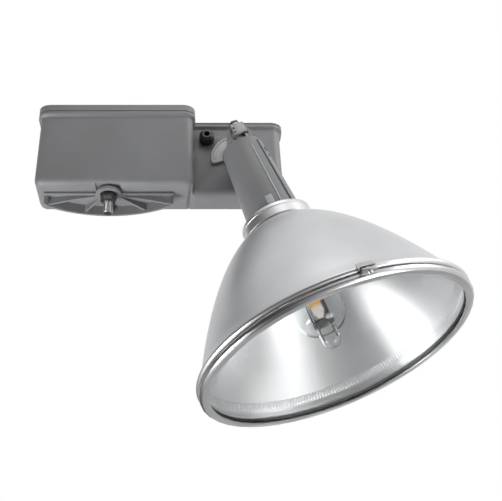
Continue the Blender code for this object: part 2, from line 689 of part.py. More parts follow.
def make_electrical_gear(body):
    """Core and coil ballast, capacitors, ignitor and terminal block on the housing's floor."""
    floor = HOUSING_BOTTOM + HOUSING_FLOOR + GAP
    x, y = BALLAST_CENTRE
    width, depth, height = BALLAST_SIZE
    foot = 6 * MM
    core = box(BALLAST_SIZE, (x, y, floor + foot + height / 2), 2 * MM)
    window = (width * 0.2, depth * 2, height * 0.52)
    ballast = add_piece("ballast_core", core, "core_steel", body)
    coils = []
    for side in (-1, 1):
        centre = (x + side * width * 0.27, y, floor + foot + height / 2)
        boolean(ballast, add_cutter(f"cut_window_{side}", box(window, centre), body))
    middle = (x, y, floor + foot + height / 2)
    leg = width * 0.34
    outer = (leg + width * 0.2 * 1.6, depth + 2 * COIL_OUT, window[2] - 2 * MM)
    coil = add_piece("ballast_coil", box(outer, middle, 8 * MM), "copper_coil", body)
    inner = (leg + 1 * MM, depth + 1 * MM, window[2] + 0.05)
    boolean(coil, add_cutter("cut_coil_bore", box(inner, middle), body))
    for k, side in enumerate((-1, 1)):
        rail = box((18 * MM, depth + 12 * MM, foot - GAP), (x + side * width * 0.32, y, floor + (foot - GAP) / 2))
        add_piece(f"ballast_foot_{k + 1}", rail, "zinc_plate", body)
    for k, place in enumerate(CAPACITOR_X):
        can = cylinder(CAPACITOR_RADIUS, 0, CAPACITOR_LENGTH, 24, bevel=2 * MM)
        add_piece(f"capacitor_{k + 1}", can, "bright_aluminium", body, at(place, CAPACITOR_Y, floor))
    strap_wall = 6 * MM
    strap_depth = 2 * (CAPACITOR_RADIUS + strap_wall)
    bracket = box((CAPACITOR_X[1] - CAPACITOR_X[0] + strap_depth, strap_depth, 12 * MM),
                  (sum(CAPACITOR_X) / 2, CAPACITOR_Y, floor + CAPACITOR_LENGTH * 0.45))
    strap = add_piece("capacitor_strap", bracket, "zinc_plate", body)
    for k, place in enumerate(CAPACITOR_X):
        hole = cylinder(CAPACITOR_RADIUS + GAP, floor, floor + CAPACITOR_LENGTH)
        boolean(strap, add_cutter(f"cut_can_{k + 1}", hole, body, at(place, CAPACITOR_Y, 0)))
    x, y = IGNITOR_AT
    block = box(IGNITOR_SIZE, (x, y, floor + IGNITOR_SIZE[2] / 2), 3 * MM)
    add_piece("ignitor", block, "black_plastic", body)
    x, y = TERMINAL_AT
    width, depth, height = TERMINAL_SIZE
    terminals = add_piece("terminal_block", box(TERMINAL_SIZE, (x, y, floor + height / 2), 1.5 * MM), "white_card", body)
    for k in range(4):
        place = x + width * ((k + 0.5) / 4 - 0.5)
        well = cylinder(5 * MM, floor + height - 10 * MM, floor + height + 0.01, 16)
        boolean(terminals, add_cutter(f"cut_well_{k + 1}", well, body, at(place, y, 0)))


def make_socket_housing(head, frame):
    """The tapered socket housing with its neck, which turns on the pivot stem."""
    top, shoulder, end = SOCKET_TOP, SOCKET_SHOULDER, -SOCKET_END
    wall = SOCKET_WALL
    profile = [
        (0, top - wall), (SOCKET_TOP_RADIUS - wall - 7 * MM, top - wall), (SOCKET_TOP_RADIUS - wall, shoulder - 2 * MM),
        (SOCKET_END_RADIUS - wall, end), (SOCKET_END_RADIUS, end), (SOCKET_TOP_RADIUS, shoulder),
        (SOCKET_TOP_RADIUS - 3 * MM, top - 3 * MM), (SOCKET_TOP_RADIUS - 9 * MM, top), (0, top),
    ]
    shell = add_piece("socket_housing", turned(profile, SOCKET_STEPS), "painted_casting", head, frame)
    turn_y = Matrix.Rotation(-math.pi / 2, 4, "X")
    neck = cylinder(NECK_RADIUS, NECK_INSIDE, BOSS_FACE - GAP, bevel=1.2 * MM)
    boolean(shell, add_cutter("socket_neck", neck, head, frame @ turn_y), "UNION")
    pad_low = 8 * MM
    pad = box((CLAMP_WIDTH + 4 * MM, CLAMP_DEPTH + 2 * MM, KNUCKLE_TOP - pad_low),
              (CLAMP_X, CLAMP_BACK, (KNUCKLE_TOP + pad_low) / 2))
    boolean(shell, add_cutter("clamp_pad", pad, head, frame), "UNION")
    bore = cylinder(PIVOT_RADIUS + GAP, 2 * NECK_INSIDE, BOSS_FACE + 0.02)
    boolean(shell, add_cutter("cut_neck_bore", bore, head, frame @ turn_y))
    for k, degrees in enumerate(SEAM_ANGLES):
        angle = math.radians(degrees)
        rings = []
        for height, radius in ((end + 3 * MM, SOCKET_END_RADIUS), (shoulder - 4 * MM, SOCKET_TOP_RADIUS)):
            low, high = radius - 2 * MM, radius + SEAM_PROUD
            half = SEAM_WIDTH / 2
            rings.append([(low, -half, height), (high, -half, height), (high, half, height), (low, half, height)])
        rib = add_cutter(f"seam_{k + 1}", lofted(rings), head, frame @ Matrix.Rotation(angle, 4, "Z"))
        boolean(shell, rib, "UNION")


def make_clamp(head, frame):
    """The clamp block over the knuckle and its bolt, which lock the tilt."""
    low = KNUCKLE_TOP + GAP
    centre = (CLAMP_X, CLAMP_BACK, low + CLAMP_HEIGHT / 2)
    block = add_piece("clamp_block", box((CLAMP_WIDTH, CLAMP_DEPTH, CLAMP_HEIGHT), centre, 3 * MM),
                      "satin_aluminium", head, frame)
    spot = frame @ at(CLAMP_X, CLAMP_BACK, 0)
    bore = cylinder(CLAMP_BOLT_DIAMETER / 2 + GAP, KNUCKLE_TOP / 2, 0.2, 24)
    boolean(block, add_cutter("cut_clamp_bore", bore, head, spot))
    seat = low + CLAMP_HEIGHT + GAP
    bolt = add_piece("clamp_bolt", hexagon(CLAMP_HEAD_FLATS, seat + 2 * MM, seat + 2 * MM + CLAMP_HEAD_THICK),
                     "black_plastic", head, spot)
    shank = cylinder(CLAMP_BOLT_DIAMETER / 2, low + 1 * MM, seat + 3 * MM, 24)
    boolean(bolt, add_cutter("clamp_shank", shank, head, spot), "UNION")
    washer = cylinder(CLAMP_HEAD_FLATS * 0.62, seat, seat + 2 * MM - GAP, 24, bore=CLAMP_BOLT_DIAMETER / 2 + GAP)
    add_piece("clamp_washer", washer, "zinc_plate", head, spot)


def reflector_radius(depth):
    """The paraboloid's inner radius at a distance from the tilt axis."""
    return math.sqrt(4 * REFLECTOR_FOCUS * max(depth - REFLECTOR_VERTEX, 0))


def reflector_depth(radius):
    return REFLECTOR_VERTEX + radius * radius / (4 * REFLECTOR_FOCUS)


def skin_height(radius):
    """Just above the reflector's outer skin, for what sits on it."""
    return -reflector_depth(radius - REFLECTOR_SHEET * 0.7) + REFLECTOR_SHEET * 0.75 + 2 * GAP


def make_reflector(head, frame):
    """The spun reflector, its neck collar and the collar's seal."""
    sheet = REFLECTOR_SHEET
    rim = REFLECTOR_RADIUS - 2 * RIM_BEAD
    rows = 7
    radii = [REFLECTOR_NECK + (rim - REFLECTOR_NECK) * k / (rows - 1) for k in range(rows)]
    inside = [(radius, -reflector_depth(radius)) for radius in radii]
    outside = [(radius + sheet * 0.7, -reflector_depth(radius) + sheet * 0.75) for radius in radii]
    bead_low = -RIM_PLANE
    centre_radius, centre_height = REFLECTOR_RADIUS - RIM_BEAD, bead_low + RIM_BEAD
    bead = []
    for k in range(6):
        turn = math.radians(-150 + 260 * k / 5)
        bead.append((centre_radius + RIM_BEAD * math.cos(turn), centre_height + RIM_BEAD * math.sin(turn)))
    inside[-1] = (rim - 1 * MM, -reflector_depth(rim))
    outside[-1] = (rim + sheet, -reflector_depth(rim) + sheet * 1.5)
    profile = inside + bead + list(reversed(outside))
    add_piece("reflector", turned(profile, RIM_STEPS, closed=True), "satin_aluminium", head, frame)

    top = -SOCKET_END - GAP - COLLAR_SEAL - GAP
    seat = REFLECTOR_NECK + sheet
    spigot = REFLECTOR_NECK - GAP
    edge = COLLAR_RADIUS - 2 * MM
    profile = [
        (spigot - 9 * MM, top), (spigot - 9 * MM, top - COLLAR_HEIGHT), (spigot, top - COLLAR_HEIGHT),
        (spigot, skin_height(spigot)), (seat, skin_height(seat)),
        (edge, skin_height(edge)), (COLLAR_RADIUS, skin_height(edge) + 2 * MM),
        (COLLAR_RADIUS, top - 2 * MM), (edge, top),
    ]
    add_piece("neck_collar", turned(profile, RIM_STEPS, closed=True), "bright_aluminium", head, frame)
    seal = cylinder(SOCKET_END_RADIUS + 3 * MM, top + GAP, top + GAP + COLLAR_SEAL, SOCKET_STEPS,
                    bore=SOCKET_END_RADIUS - SOCKET_WALL)
    add_piece("collar_seal", seal, "black_rubber", head, frame)
    for k in range(4):
        angle = math.radians(45 + 90 * k)
        screw = cylinder(3.5 * MM, 0, 3 * MM, 10)
        reach = SOCKET_END_RADIUS + 9 * MM
        spot = frame @ at(reach * math.cos(angle), reach * math.sin(angle), top + GAP)
        add_piece(f"collar_screw_{k + 1}", screw, "zinc_plate", head, spot)


def door_frame(frame):
    """The lens door's hinge, on the rim's far right, with its Y along the hinge pin."""
    return frame @ at(REFLECTOR_RADIUS + HINGE_OUT, 0, -RIM_PLANE - DOOR_GAP)


def make_lens_door(door, frame):
    """The door ring, its domed glass, its gasket and its hinge barrel."""
    top = -RIM_PLANE - DOOR_GAP
    low = top - DOOR_THICK
    lip = LENS_LIP
    profile = [
        (DOOR_INNER + lip, top), (DOOR_OUTER - 4 * MM, top), (DOOR_OUTER, top - 4 * MM),
        (DOOR_OUTER, low + 5 * MM), (DOOR_OUTER - 4 * MM, low), (DOOR_INNER, low),
        (DOOR_INNER, low + 3 * MM), (DOOR_INNER + lip, low + 3 * MM),
    ]
    ring = add_piece("door_ring", turned(profile, RIM_STEPS, closed=True), "bright_aluminium", door, frame)
    barrel_at = frame @ at(REFLECTOR_RADIUS + HINGE_OUT, 0, top)
    lay_y = Matrix.Rotation(math.pi / 2, 4, "X")
    arm = box((9 * MM, HINGE_LENGTH / 3 - 1 * MM, 4 * MM), (-4.5 * MM, 0, -3.4 * MM))
    boolean(ring, add_cutter("hinge_arm", arm, door, barrel_at), "UNION")
    barrel = cylinder(HINGE_BARREL_RADIUS, -HINGE_LENGTH / 6 + 0.5 * MM, HINGE_LENGTH / 6 - 0.5 * MM, 20)
    boolean(ring, add_cutter("hinge_barrel", barrel, door, barrel_at @ lay_y), "UNION")
    bore = cylinder(HINGE_PIN_RADIUS + GAP, -0.05, 0.05, 20)
    boolean(ring, add_cutter("cut_hinge_bore", bore, door, barrel_at @ lay_y))

    make_door_lug(ring, door, frame)
    edge = DOOR_INNER + lip - 0.5 * MM
    seat = low + 3 * MM + GAP
    chord = DOOR_INNER - 3 * MM
    sphere = (chord * chord + LENS_SAG * LENS_SAG) / (2 * LENS_SAG)
    rows = 4
    outer, inner = [], []
    for k in range(rows):
        radius = chord * (1 - k / (rows - 1))
        drop = math.sqrt(sphere * sphere - radius * radius) - (sphere - LENS_SAG)
        outer.append((radius, seat - drop))
        inner.append((radius, seat - drop + LENS_THICK))
    glass = [(edge, seat + LENS_THICK), (edge, seat)] + outer + list(reversed(inner))
    add_piece("lens_glass", glass_solid(glass), "clear_glass", door, frame)
    seal_low = seat + LENS_THICK + GAP
    seal = cylinder(edge, seal_low, top - GAP, RIM_STEPS, bore=DOOR_INNER + 1 * MM)
    add_piece("lens_gasket", seal, "black_rubber", door, frame)


def glass_solid(profile):
    """The lens is turned from its apex outside to its apex inside."""
    bottom = [k for k, (radius, _) in enumerate(profile) if radius < 1e-9]
    first, second = bottom[0], bottom[1]
    order = profile[second:] + profile[:first + 1]
    return turned(order, RIM_STEPS)


def make_hinge(head, frame):
    """A plate on the reflector's rim with two ears, and the pin through the door's barrel."""
    lay_y = Matrix.Rotation(math.pi / 2, 4, "X")
    centre = door_frame(frame)
    third = HINGE_LENGTH / 3
    inner = -HINGE_OUT + GAP
    middle = inner + HINGE_PLATE / 2
    plate = box((HINGE_PLATE, HINGE_LENGTH, 9 * MM), (middle, 0, 11 * MM))
    leaf = add_piece("hinge_leaf", plate, "zinc_plate", head, centre)
    ears = []
    for side in (-1, 1):
        low, high = sorted((side * third * 0.5 + side * 0.5 * MM, side * third * 1.5))
        ears.append(add_cutter(f"ear_barrel_{side}", cylinder(HINGE_BARREL_RADIUS, low, high, 20), head, centre @ lay_y))
        arm = box((HINGE_PLATE - 0.2 * MM, third - 0.8 * MM, 9 * MM), (middle, side * (third + 0.15 * MM), 4 * MM))
        ears.append(add_cutter(f"ear_arm_{side}", arm, head, centre))
    for ear in ears:
        boolean(leaf, ear, "UNION")
    bore = cylinder(HINGE_PIN_RADIUS + GAP, -0.05, 0.05, 20)
    boolean(leaf, add_cutter("cut_leaf_bore", bore, head, centre @ lay_y))
    pin = cylinder(HINGE_PIN_RADIUS, -HINGE_LENGTH / 2 - 2 * MM, HINGE_LENGTH / 2 + 2 * MM, 16, bevel=0.6 * MM)
    add_piece("hinge_pin", pin, "zinc_plate", head, centre @ lay_y)


def catch_frame(frame):
    """On the rim's near side, level with the joint between the reflector and the door."""
    turn = Matrix.Rotation(CATCH_ANGLE, 4, "Z")
    return frame @ turn @ at(REFLECTOR_RADIUS, 0, -RIM_PLANE)


def make_catch(head, frame):
    """The tab on the reflector's bead that takes the lens door's captive screw."""
    place = catch_frame(frame)
    plate = box((CATCH_THICK, CATCH_WIDTH, 14 * MM), (CATCH_THICK / 2 + GAP, 0, 8 * MM))
    tab = add_piece("catch_tab", plate, "zinc_plate", head, place)
    shelf = box((CATCH_REACH, CATCH_WIDTH - 4 * MM, CATCH_THICK), (CATCH_REACH / 2 + 1 * MM, 0, 2.5 * MM))
    boolean(tab, add_cutter("catch_shelf", shelf, head, place), "UNION")
    hole = cylinder(CATCH_SCREW_RADIUS + 2 * GAP, -0.02, 0.02, 20)
    boolean(tab, add_cutter("cut_catch_hole", hole, head, place @ at(CATCH_REACH * 0.6, 0, 0)))


def make_door_lug(ring, door, frame):
    """The door ring's lug under the catch, and the captive screw that it carries."""
    place = catch_frame(frame)
    low = -DOOR_GAP - 7 * MM
    lug = box((CATCH_REACH + 8 * MM, CATCH_WIDTH - 4 * MM, 6 * MM), (CATCH_REACH / 2 - 3 * MM, 0, low + 2.9 * MM))
    boolean(ring, add_cutter("door_lug", lug, door, place), "UNION")
    spot = place @ at(CATCH_REACH * 0.6, 0, 0)
    bore = cylinder(CATCH_SCREW_RADIUS + GAP, -0.02, 0.0, 20)
    boolean(ring, add_cutter("cut_lug_hole", bore, door, spot))
    head_top = low - 0.1 * MM - GAP
    screw = [
        (0, head_top - 6 * MM), (4.5 * MM, head_top - 6 * MM), (5 * MM, head_top - 5 * MM), (5 * MM, head_top),
        (CATCH_SCREW_RADIUS, head_top), (CATCH_SCREW_RADIUS, 4.5 * MM), (0, 5.5 * MM),
    ]
    add_piece("door_screw", turned(screw, 20), "zinc_plate", door, spot)


def make_lamp_socket(head, frame):
    """The porcelain mogul socket, its brass screw shell and contact, and its bracket."""
    mouth = -(LAMP_CONTACT + LAMP_BASE_LENGTH - 7 * MM)
    back = mouth + SOCKET_BODY_LENGTH
    shell_radius = LAMP_BASE_RADIUS + 1 * MM
    cavity_top = -LAMP_CONTACT + 5 * MM
    outer = SOCKET_BODY_RADIUS
    profile = [
        (0, cavity_top), (shell_radius + 2 * MM, cavity_top), (shell_radius + 2 * MM, mouth), (outer - 2 * MM, mouth),
        (outer, mouth + 2 * MM), (outer, back - 14 * MM), (outer - 6 * MM, back - 12 * MM), (outer - 6 * MM, back), (0, back),
    ]
    add_piece("lamp_socket", turned(profile, 32), "porcelain", head, frame)
    shell = cylinder(shell_radius + 1.5 * MM, mouth + 2 * MM, cavity_top - GAP, 32, bore=shell_radius)
    add_piece("socket_screw_shell", shell, "brass", head, frame)
    contact = cylinder(5 * MM, -LAMP_CONTACT + GAP, cavity_top - GAP, 16)
    add_piece("socket_contact", contact, "brass", head, frame)
    low = back + GAP
    width = 30 * MM
    taper = (SOCKET_END_RADIUS - SOCKET_TOP_RADIUS) / (SOCKET_END + SOCKET_SHOULDER)
    bore = SOCKET_TOP_RADIUS - SOCKET_WALL + taper * (SOCKET_SHOULDER - 6 * MM - low - 3 * MM)
    reach = bore * math.cos(math.pi / SOCKET_STEPS) - 2 * GAP
    length = 2 * math.sqrt(reach * reach - width * width / 4)
    bracket = box((length, width, 3 * MM), (0, 0, low + 1.5 * MM))
    add_piece("socket_bracket", bracket, "zinc_plate", head, frame)


def lamp_profile():
    """The bulb's outer radius from its base to its tip, as smooth stretches."""
    start = LAMP_BASE_LENGTH - 7 * MM + GAP
    points = [(LAMP_BASE_RADIUS + 2.5 * MM, start)]
    neck_end = start + 34 * MM
    points.append((BULB_NECK_RADIUS, neck_end))
    for k in range(1, 5):
        share = k / 4
        swell = (1 - math.cos(math.pi * share)) / 2
        points.append((BULB_NECK_RADIUS + (BULB_RADIUS - BULB_NECK_RADIUS) * swell,
                       neck_end + (BULB_WIDEST - neck_end) * share))
    shoulder = LAMP_LENGTH * 0.856
    for k in range(1, 4):
        share = k / 3
        radius = BULB_TIP_RADIUS + (BULB_RADIUS - BULB_TIP_RADIUS) * math.cos(math.pi / 2 * share) ** 0.8
        points.append((radius, BULB_WIDEST + (shoulder - BULB_WIDEST) * math.sin(math.pi / 2 * share)))
    points.append((BULB_TIP_RADIUS, LAMP_LENGTH - BULB_TIP_RADIUS))
    for k in range(1, 4):
        turn = math.pi / 2 * k / 3
        points.append((max(BULB_TIP_RADIUS * math.cos(turn), 0),
                       LAMP_LENGTH - BULB_TIP_RADIUS + BULB_TIP_RADIUS * math.sin(turn)))
    return points


def make_lamp(head, frame):
    """The metal-halide lamp: base, clear bulb, arc tube, shroud and its wire frame."""
    down = frame @ at(0, 0, -LAMP_CONTACT) @ Matrix.Rotation(math.pi, 4, "X")
    base = [
        (0, GAP), (7 * MM, GAP), (LAMP_BASE_RADIUS - 4 * MM, 5 * MM), (LAMP_BASE_RADIUS, 9 * MM),
        (LAMP_BASE_RADIUS, LAMP_BASE_LENGTH - 8 * MM), (LAMP_BASE_RADIUS - 4 * MM, LAMP_BASE_LENGTH - 7 * MM),
        (0, LAMP_BASE_LENGTH - 7 * MM),
    ]
    add_piece("lamp_base", turned(base, 32), "brass", head, down)
    outer = lamp_profile()
    outer[-1] = (0, LAMP_LENGTH)
    inner = [(max(radius - BULB_GLASS, 0), height - (BULB_GLASS if radius == 0 else 0)) for radius, height in outer]
    inner[-2] = (inner[-2][0], inner[-2][1] - BULB_GLASS)
    bulb = turned(list(reversed(inner)) + outer, 24)
    add_piece("lamp_bulb", bulb, "clear_glass", head, down)
    low, high = ARC_TUBE_CENTRE - ARC_TUBE_LENGTH / 2, ARC_TUBE_CENTRE + ARC_TUBE_LENGTH / 2
    shroud_low, shroud_high = ARC_TUBE_CENTRE - SHROUD_LENGTH / 2, ARC_TUBE_CENTRE + SHROUD_LENGTH / 2
    foot_top = LAMP_BASE_LENGTH + FRAME_FOOT + 2 * GAP
    tube = [(0, foot_top), (3 * MM, foot_top), (5 * MM, shroud_low), (6 * MM, low), (ARC_TUBE_RADIUS, low + 12 * MM),
            (ARC_TUBE_RADIUS, high - 12 * MM), (6 * MM, high), (5 * MM, shroud_high), (0, shroud_high)]
    add_piece("arc_tube", turned(tube, 20), "clear_glass", head, down)
    shroud = cylinder(SHROUD_RADIUS, shroud_low, shroud_high, 24, bore=SHROUD_RADIUS - SHROUD_WALL)
    add_piece("lamp_shroud", shroud, "clear_glass", head, down)
    make_lamp_frame(head, down, shroud_high)


def make_lamp_frame(head, down, shroud_end):
    """A stem with two support wires beside the shroud, a disc above it and stays to the tip."""
    stem_low = LAMP_BASE_LENGTH - 7 * MM + GAP
    foot_top = LAMP_BASE_LENGTH + FRAME_FOOT
    foot_low = foot_top - 3 * MM
    reach = SHROUD_RADIUS + FRAME_WIRE + GAP
    disc = cylinder(reach + 2 * FRAME_WIRE, shroud_end + GAP, shroud_end + 3 * MM, 24)
    frame = add_piece("lamp_frame", disc, "nickel_wire", head, down)
    parts = [
        ("frame_stem", cylinder(8 * MM, stem_low, foot_low + 1 * MM, 16)),
        ("frame_foot", cylinder(reach + 2 * FRAME_WIRE, foot_low, foot_top, 24)),
    ]
    for side in (-1, 1):
        wire = cylinder(FRAME_WIRE, foot_low + 1.6 * MM, shroud_end + 1.7 * MM, 10)
        wire.transform(at(side * reach, 0, 0))
        stay = cylinder(FRAME_WIRE, shroud_end + 1.2 * MM, LAMP_LENGTH - BULB_TIP_RADIUS, 10)
        stay.transform(at(side * (BULB_TIP_RADIUS - 6 * MM), 0, 0))
        parts += [(f"wire_{side}", wire), (f"stay_{side}", stay)]
    for name, bm in parts:
        boolean(frame, add_cutter(name, bm, head, down), "UNION")


def build():
    clear_scene()
    root = empty("root_frame", Matrix.Identity(4))
    body = empty("swivel_joint", Matrix.Identity(4))
    frame = head_frame()
    head = empty("tilt_joint", frame, body)
    door = empty("door_joint", door_frame(frame), head)
    make_fan_base(root)
    make_crossarm_bolt(root)
    make_housing(body)
    make_cover(body)
    make_gland(body)
    make_aiming_scale(body)
    make_pivot(body)
    make_electrical_gear(body)
    make_socket_housing(head, frame)
    make_clamp(head, frame)
    make_reflector(head, frame)
    make_hinge(head, frame)
    make_catch(head, frame)
    make_lamp_socket(head, frame)
    make_lamp(head, frame)
    make_lens_door(door, frame)
    bpy.context.view_layer.update()


build()
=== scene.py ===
"""Area floodlight: ballast housing, ribbed fan base and spun-reflector lamp head."""

import json
import math

import bmesh
import bpy
from mathutils import Matrix, Vector

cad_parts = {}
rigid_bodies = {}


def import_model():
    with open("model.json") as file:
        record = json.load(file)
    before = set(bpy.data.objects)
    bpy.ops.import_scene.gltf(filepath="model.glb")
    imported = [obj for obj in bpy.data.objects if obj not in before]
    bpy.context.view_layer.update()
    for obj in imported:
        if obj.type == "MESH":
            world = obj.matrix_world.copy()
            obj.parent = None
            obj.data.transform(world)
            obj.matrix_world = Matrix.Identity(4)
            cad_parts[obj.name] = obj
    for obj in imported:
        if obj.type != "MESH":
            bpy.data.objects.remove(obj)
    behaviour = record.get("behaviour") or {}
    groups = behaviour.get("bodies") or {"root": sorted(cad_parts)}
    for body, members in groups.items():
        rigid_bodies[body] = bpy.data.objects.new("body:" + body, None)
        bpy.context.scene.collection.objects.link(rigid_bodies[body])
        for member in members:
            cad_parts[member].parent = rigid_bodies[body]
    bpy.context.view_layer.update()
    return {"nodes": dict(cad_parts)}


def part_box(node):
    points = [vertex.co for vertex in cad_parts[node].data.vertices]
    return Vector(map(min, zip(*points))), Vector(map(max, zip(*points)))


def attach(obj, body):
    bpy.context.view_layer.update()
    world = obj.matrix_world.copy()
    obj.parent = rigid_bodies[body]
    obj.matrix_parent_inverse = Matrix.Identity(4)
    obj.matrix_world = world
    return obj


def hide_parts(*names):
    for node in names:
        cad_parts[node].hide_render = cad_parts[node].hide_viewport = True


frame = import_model()


# Studio: the camera stands well below the object and looks up at it, as in the
# photograph. White shows behind the object, the floor is far below, and the lamps are
# large and soft. Dark boards that the camera doesn't see give the metal its gradients.
camera_data = bpy.data.cameras.new("photo_camera")
camera_data.sensor_width = 36.0
camera_data.lens = 71.71
camera_data.shift_x = 0.1215
camera_data.shift_y = -0.001
camera_data.clip_end = 50.0
camera = bpy.data.objects.new("photo_camera", camera_data)
camera.location = (0.1889, -1.9878, -1.2016)
camera.rotation_euler = (math.radians(118.0), 0.0, 0.0)
bpy.context.scene.collection.objects.link(camera)
bpy.context.scene.camera = camera
bpy.context.scene.view_settings.view_transform = "Standard"
WHITE = (1.0, 1.0, 1.0, 1.0)
BACKDROP_STRENGTH = 1.0
SOFT_STRENGTH = 0.55
FLOOR_LEVEL = -2.7
FLOOR_REACH = 9
FLOOR_GREY = 0.92
FLOOR_LIFT = 0.45
BOARD_ROUGHNESS = 0.9


def add_node(tree, kind, inputs=None, **properties):
    """A node whose inputs, by name or number, each get a link or a plain value."""
    made = tree.nodes.new(kind)
    for key, value in properties.items():
        setattr(made, key, value)
    for key, value in (inputs or {}).items():
        if isinstance(value, bpy.types.NodeSocket):
            tree.links.new(value, made.inputs[key])
        else:
            made.inputs[key].default_value = value
    return made


def number(tree, operation, *values):
    """The result of a math node on sockets or plain numbers."""
    return add_node(tree, "ShaderNodeMath", dict(enumerate(values)), operation=operation).outputs[0]


def studio_world():
    """White to the camera, to reflections and through glass, and a dimmer light on matt surfaces."""
    world = bpy.data.worlds.new("studio")
    bpy.context.scene.world = world
    world.use_nodes = True
    tree = world.node_tree
    tree.nodes.clear()
    path = add_node(tree, "ShaderNodeLightPath")
    seen = 0.0
    for ray in ("Is Camera Ray", "Is Glossy Ray", "Is Transmission Ray"):
        seen = number(tree, "ADD", path.outputs[ray], seen)
        seen.node.use_clamp = True
    white = add_node(tree, "ShaderNodeBackground", {"Color": WHITE, "Strength": BACKDROP_STRENGTH})
    soft = add_node(tree, "ShaderNodeBackground", {"Color": WHITE, "Strength": SOFT_STRENGTH})
    mix = add_node(tree, "ShaderNodeMixShader", {0: seen, 1: soft.outputs[0], 2: white.outputs[0]})
    add_node(tree, "ShaderNodeOutputWorld", {0: mix.outputs[0]})


studio_world()


def add_light(name, location, target, size, watts):
    data = bpy.data.lights.new(name, "AREA")
    data.shape = "RECTANGLE"
    data.size, data.size_y = size
    data.energy = watts
    light = bpy.data.objects.new(name, data)
    light.location = location
    light.rotation_euler = (Vector(target) - Vector(location)).to_track_quat("-Z", "Y").to_euler()
    bpy.context.scene.collection.objects.link(light)
    return light


under_light = add_light("under_light", (-0.5, 0.75, -1.75), (-0.1, 0.06, 0.0), (2.2, 1.5), 7.0)
under_light.visible_glossy = False
add_light("low_right_light", (1.5, -0.9, -1.3), (0.3, -0.1, -0.5), (0.9, 0.9), 12.0)
add_light("left_low_light", (-1.1, -0.2, -1.4), (0.0, 0.05, 0.0), (0.9, 0.9), 45.0)
add_light("top_light", (0.3, -1.4, 1.5), (0.2, 0.0, 0.0), (1.2, 1.2), 8.0)
add_light("right_light", (2.0, -0.9, 0.5), (0.4, 0.0, -0.1), (1.0, 1.6), 22.0)


def add_stage(name, low, high, grey):
    """A plain board between two opposite corners, which share one coordinate."""
    flat = [low[axis] == high[axis] for axis in range(3)].index(True)
    along, up = [axis for axis in range(3) if axis != flat]
    corners = []
    for first, second in ((low, low), (high, low), (high, high), (low, high)):
        corner = list(low)
        corner[along], corner[up] = first[along], second[up]
        corners.append(corner)
    mesh = bpy.data.meshes.new(name)
    mesh.from_pydata(corners, [], [(0, 1, 2, 3)])
    board = bpy.data.objects.new(name, mesh)
    bpy.context.scene.collection.objects.link(board)
    made = bpy.data.materials.new(name + "_board")
    made.use_nodes = True
    shader = made.node_tree.nodes["Principled BSDF"]
    shader.inputs["Base Color"].default_value = (grey, grey, grey, 1.0)
    shader.inputs["Roughness"].default_value = BOARD_ROUGHNESS
    mesh.materials.append(made)
    return board


def brighten_for_camera(board, strength):
    """Lifts a board for the camera alone, so that the floor looks pale and keeps its shadow."""
    tree = board.data.materials[0].node_tree
    path = add_node(tree, "ShaderNodeLightPath")
    shader = tree.nodes["Principled BSDF"]
    shader.inputs["Emission Color"].default_value = WHITE
    lift = number(tree, "MULTIPLY", path.outputs["Is Camera Ray"], strength)
    tree.links.new(lift, shader.inputs["Emission Strength"])


floor = add_stage("floor", (-FLOOR_REACH, -FLOOR_REACH, FLOOR_LEVEL), (FLOOR_REACH, FLOOR_REACH, FLOOR_LEVEL),
                  FLOOR_GREY)
brighten_for_camera(floor, FLOOR_LIFT)
for name, low, high, grey in (
        ("left_flag", (-1.3, -2.6, -1.85), (-1.3, 1.0, 0.9), 0.04),
        ("rear_flag", (-2.4, -3.4, -1.85), (2.6, -3.4, 1.6), 0.1),
        ("back_flag", (-3.0, 2.4, -1.85), (0.1, 2.4, 0.1), 0.08),
        ("floor_flag", (-0.9, -1.6, -1.84), (0.5, -0.3, -1.84), 0.1)):
    add_stage(name, low, high, grey).visible_camera = False


# Fan base: a grey powder-coated aluminium casting with ribs, a rim and a hub for the
# crossarm bolt. The die leaves every edge slightly round and the coat has a fine
# orange-peel grain.
NODES = frame["nodes"]
MM = 0.001
PAINT_GREY = (0.198, 0.2, 0.205)
PAINT_DRIFT = 0.07
NOISE_LOW, NOISE_HIGH = 0.3, 0.7
GRAIN_STRENGTH = 0.25
GRAIN_DEPTH = 0.06 * MM
WELD = 1e-6
FLAT_TURN = 0.6
FAN_EDGE = 0.9 * MM


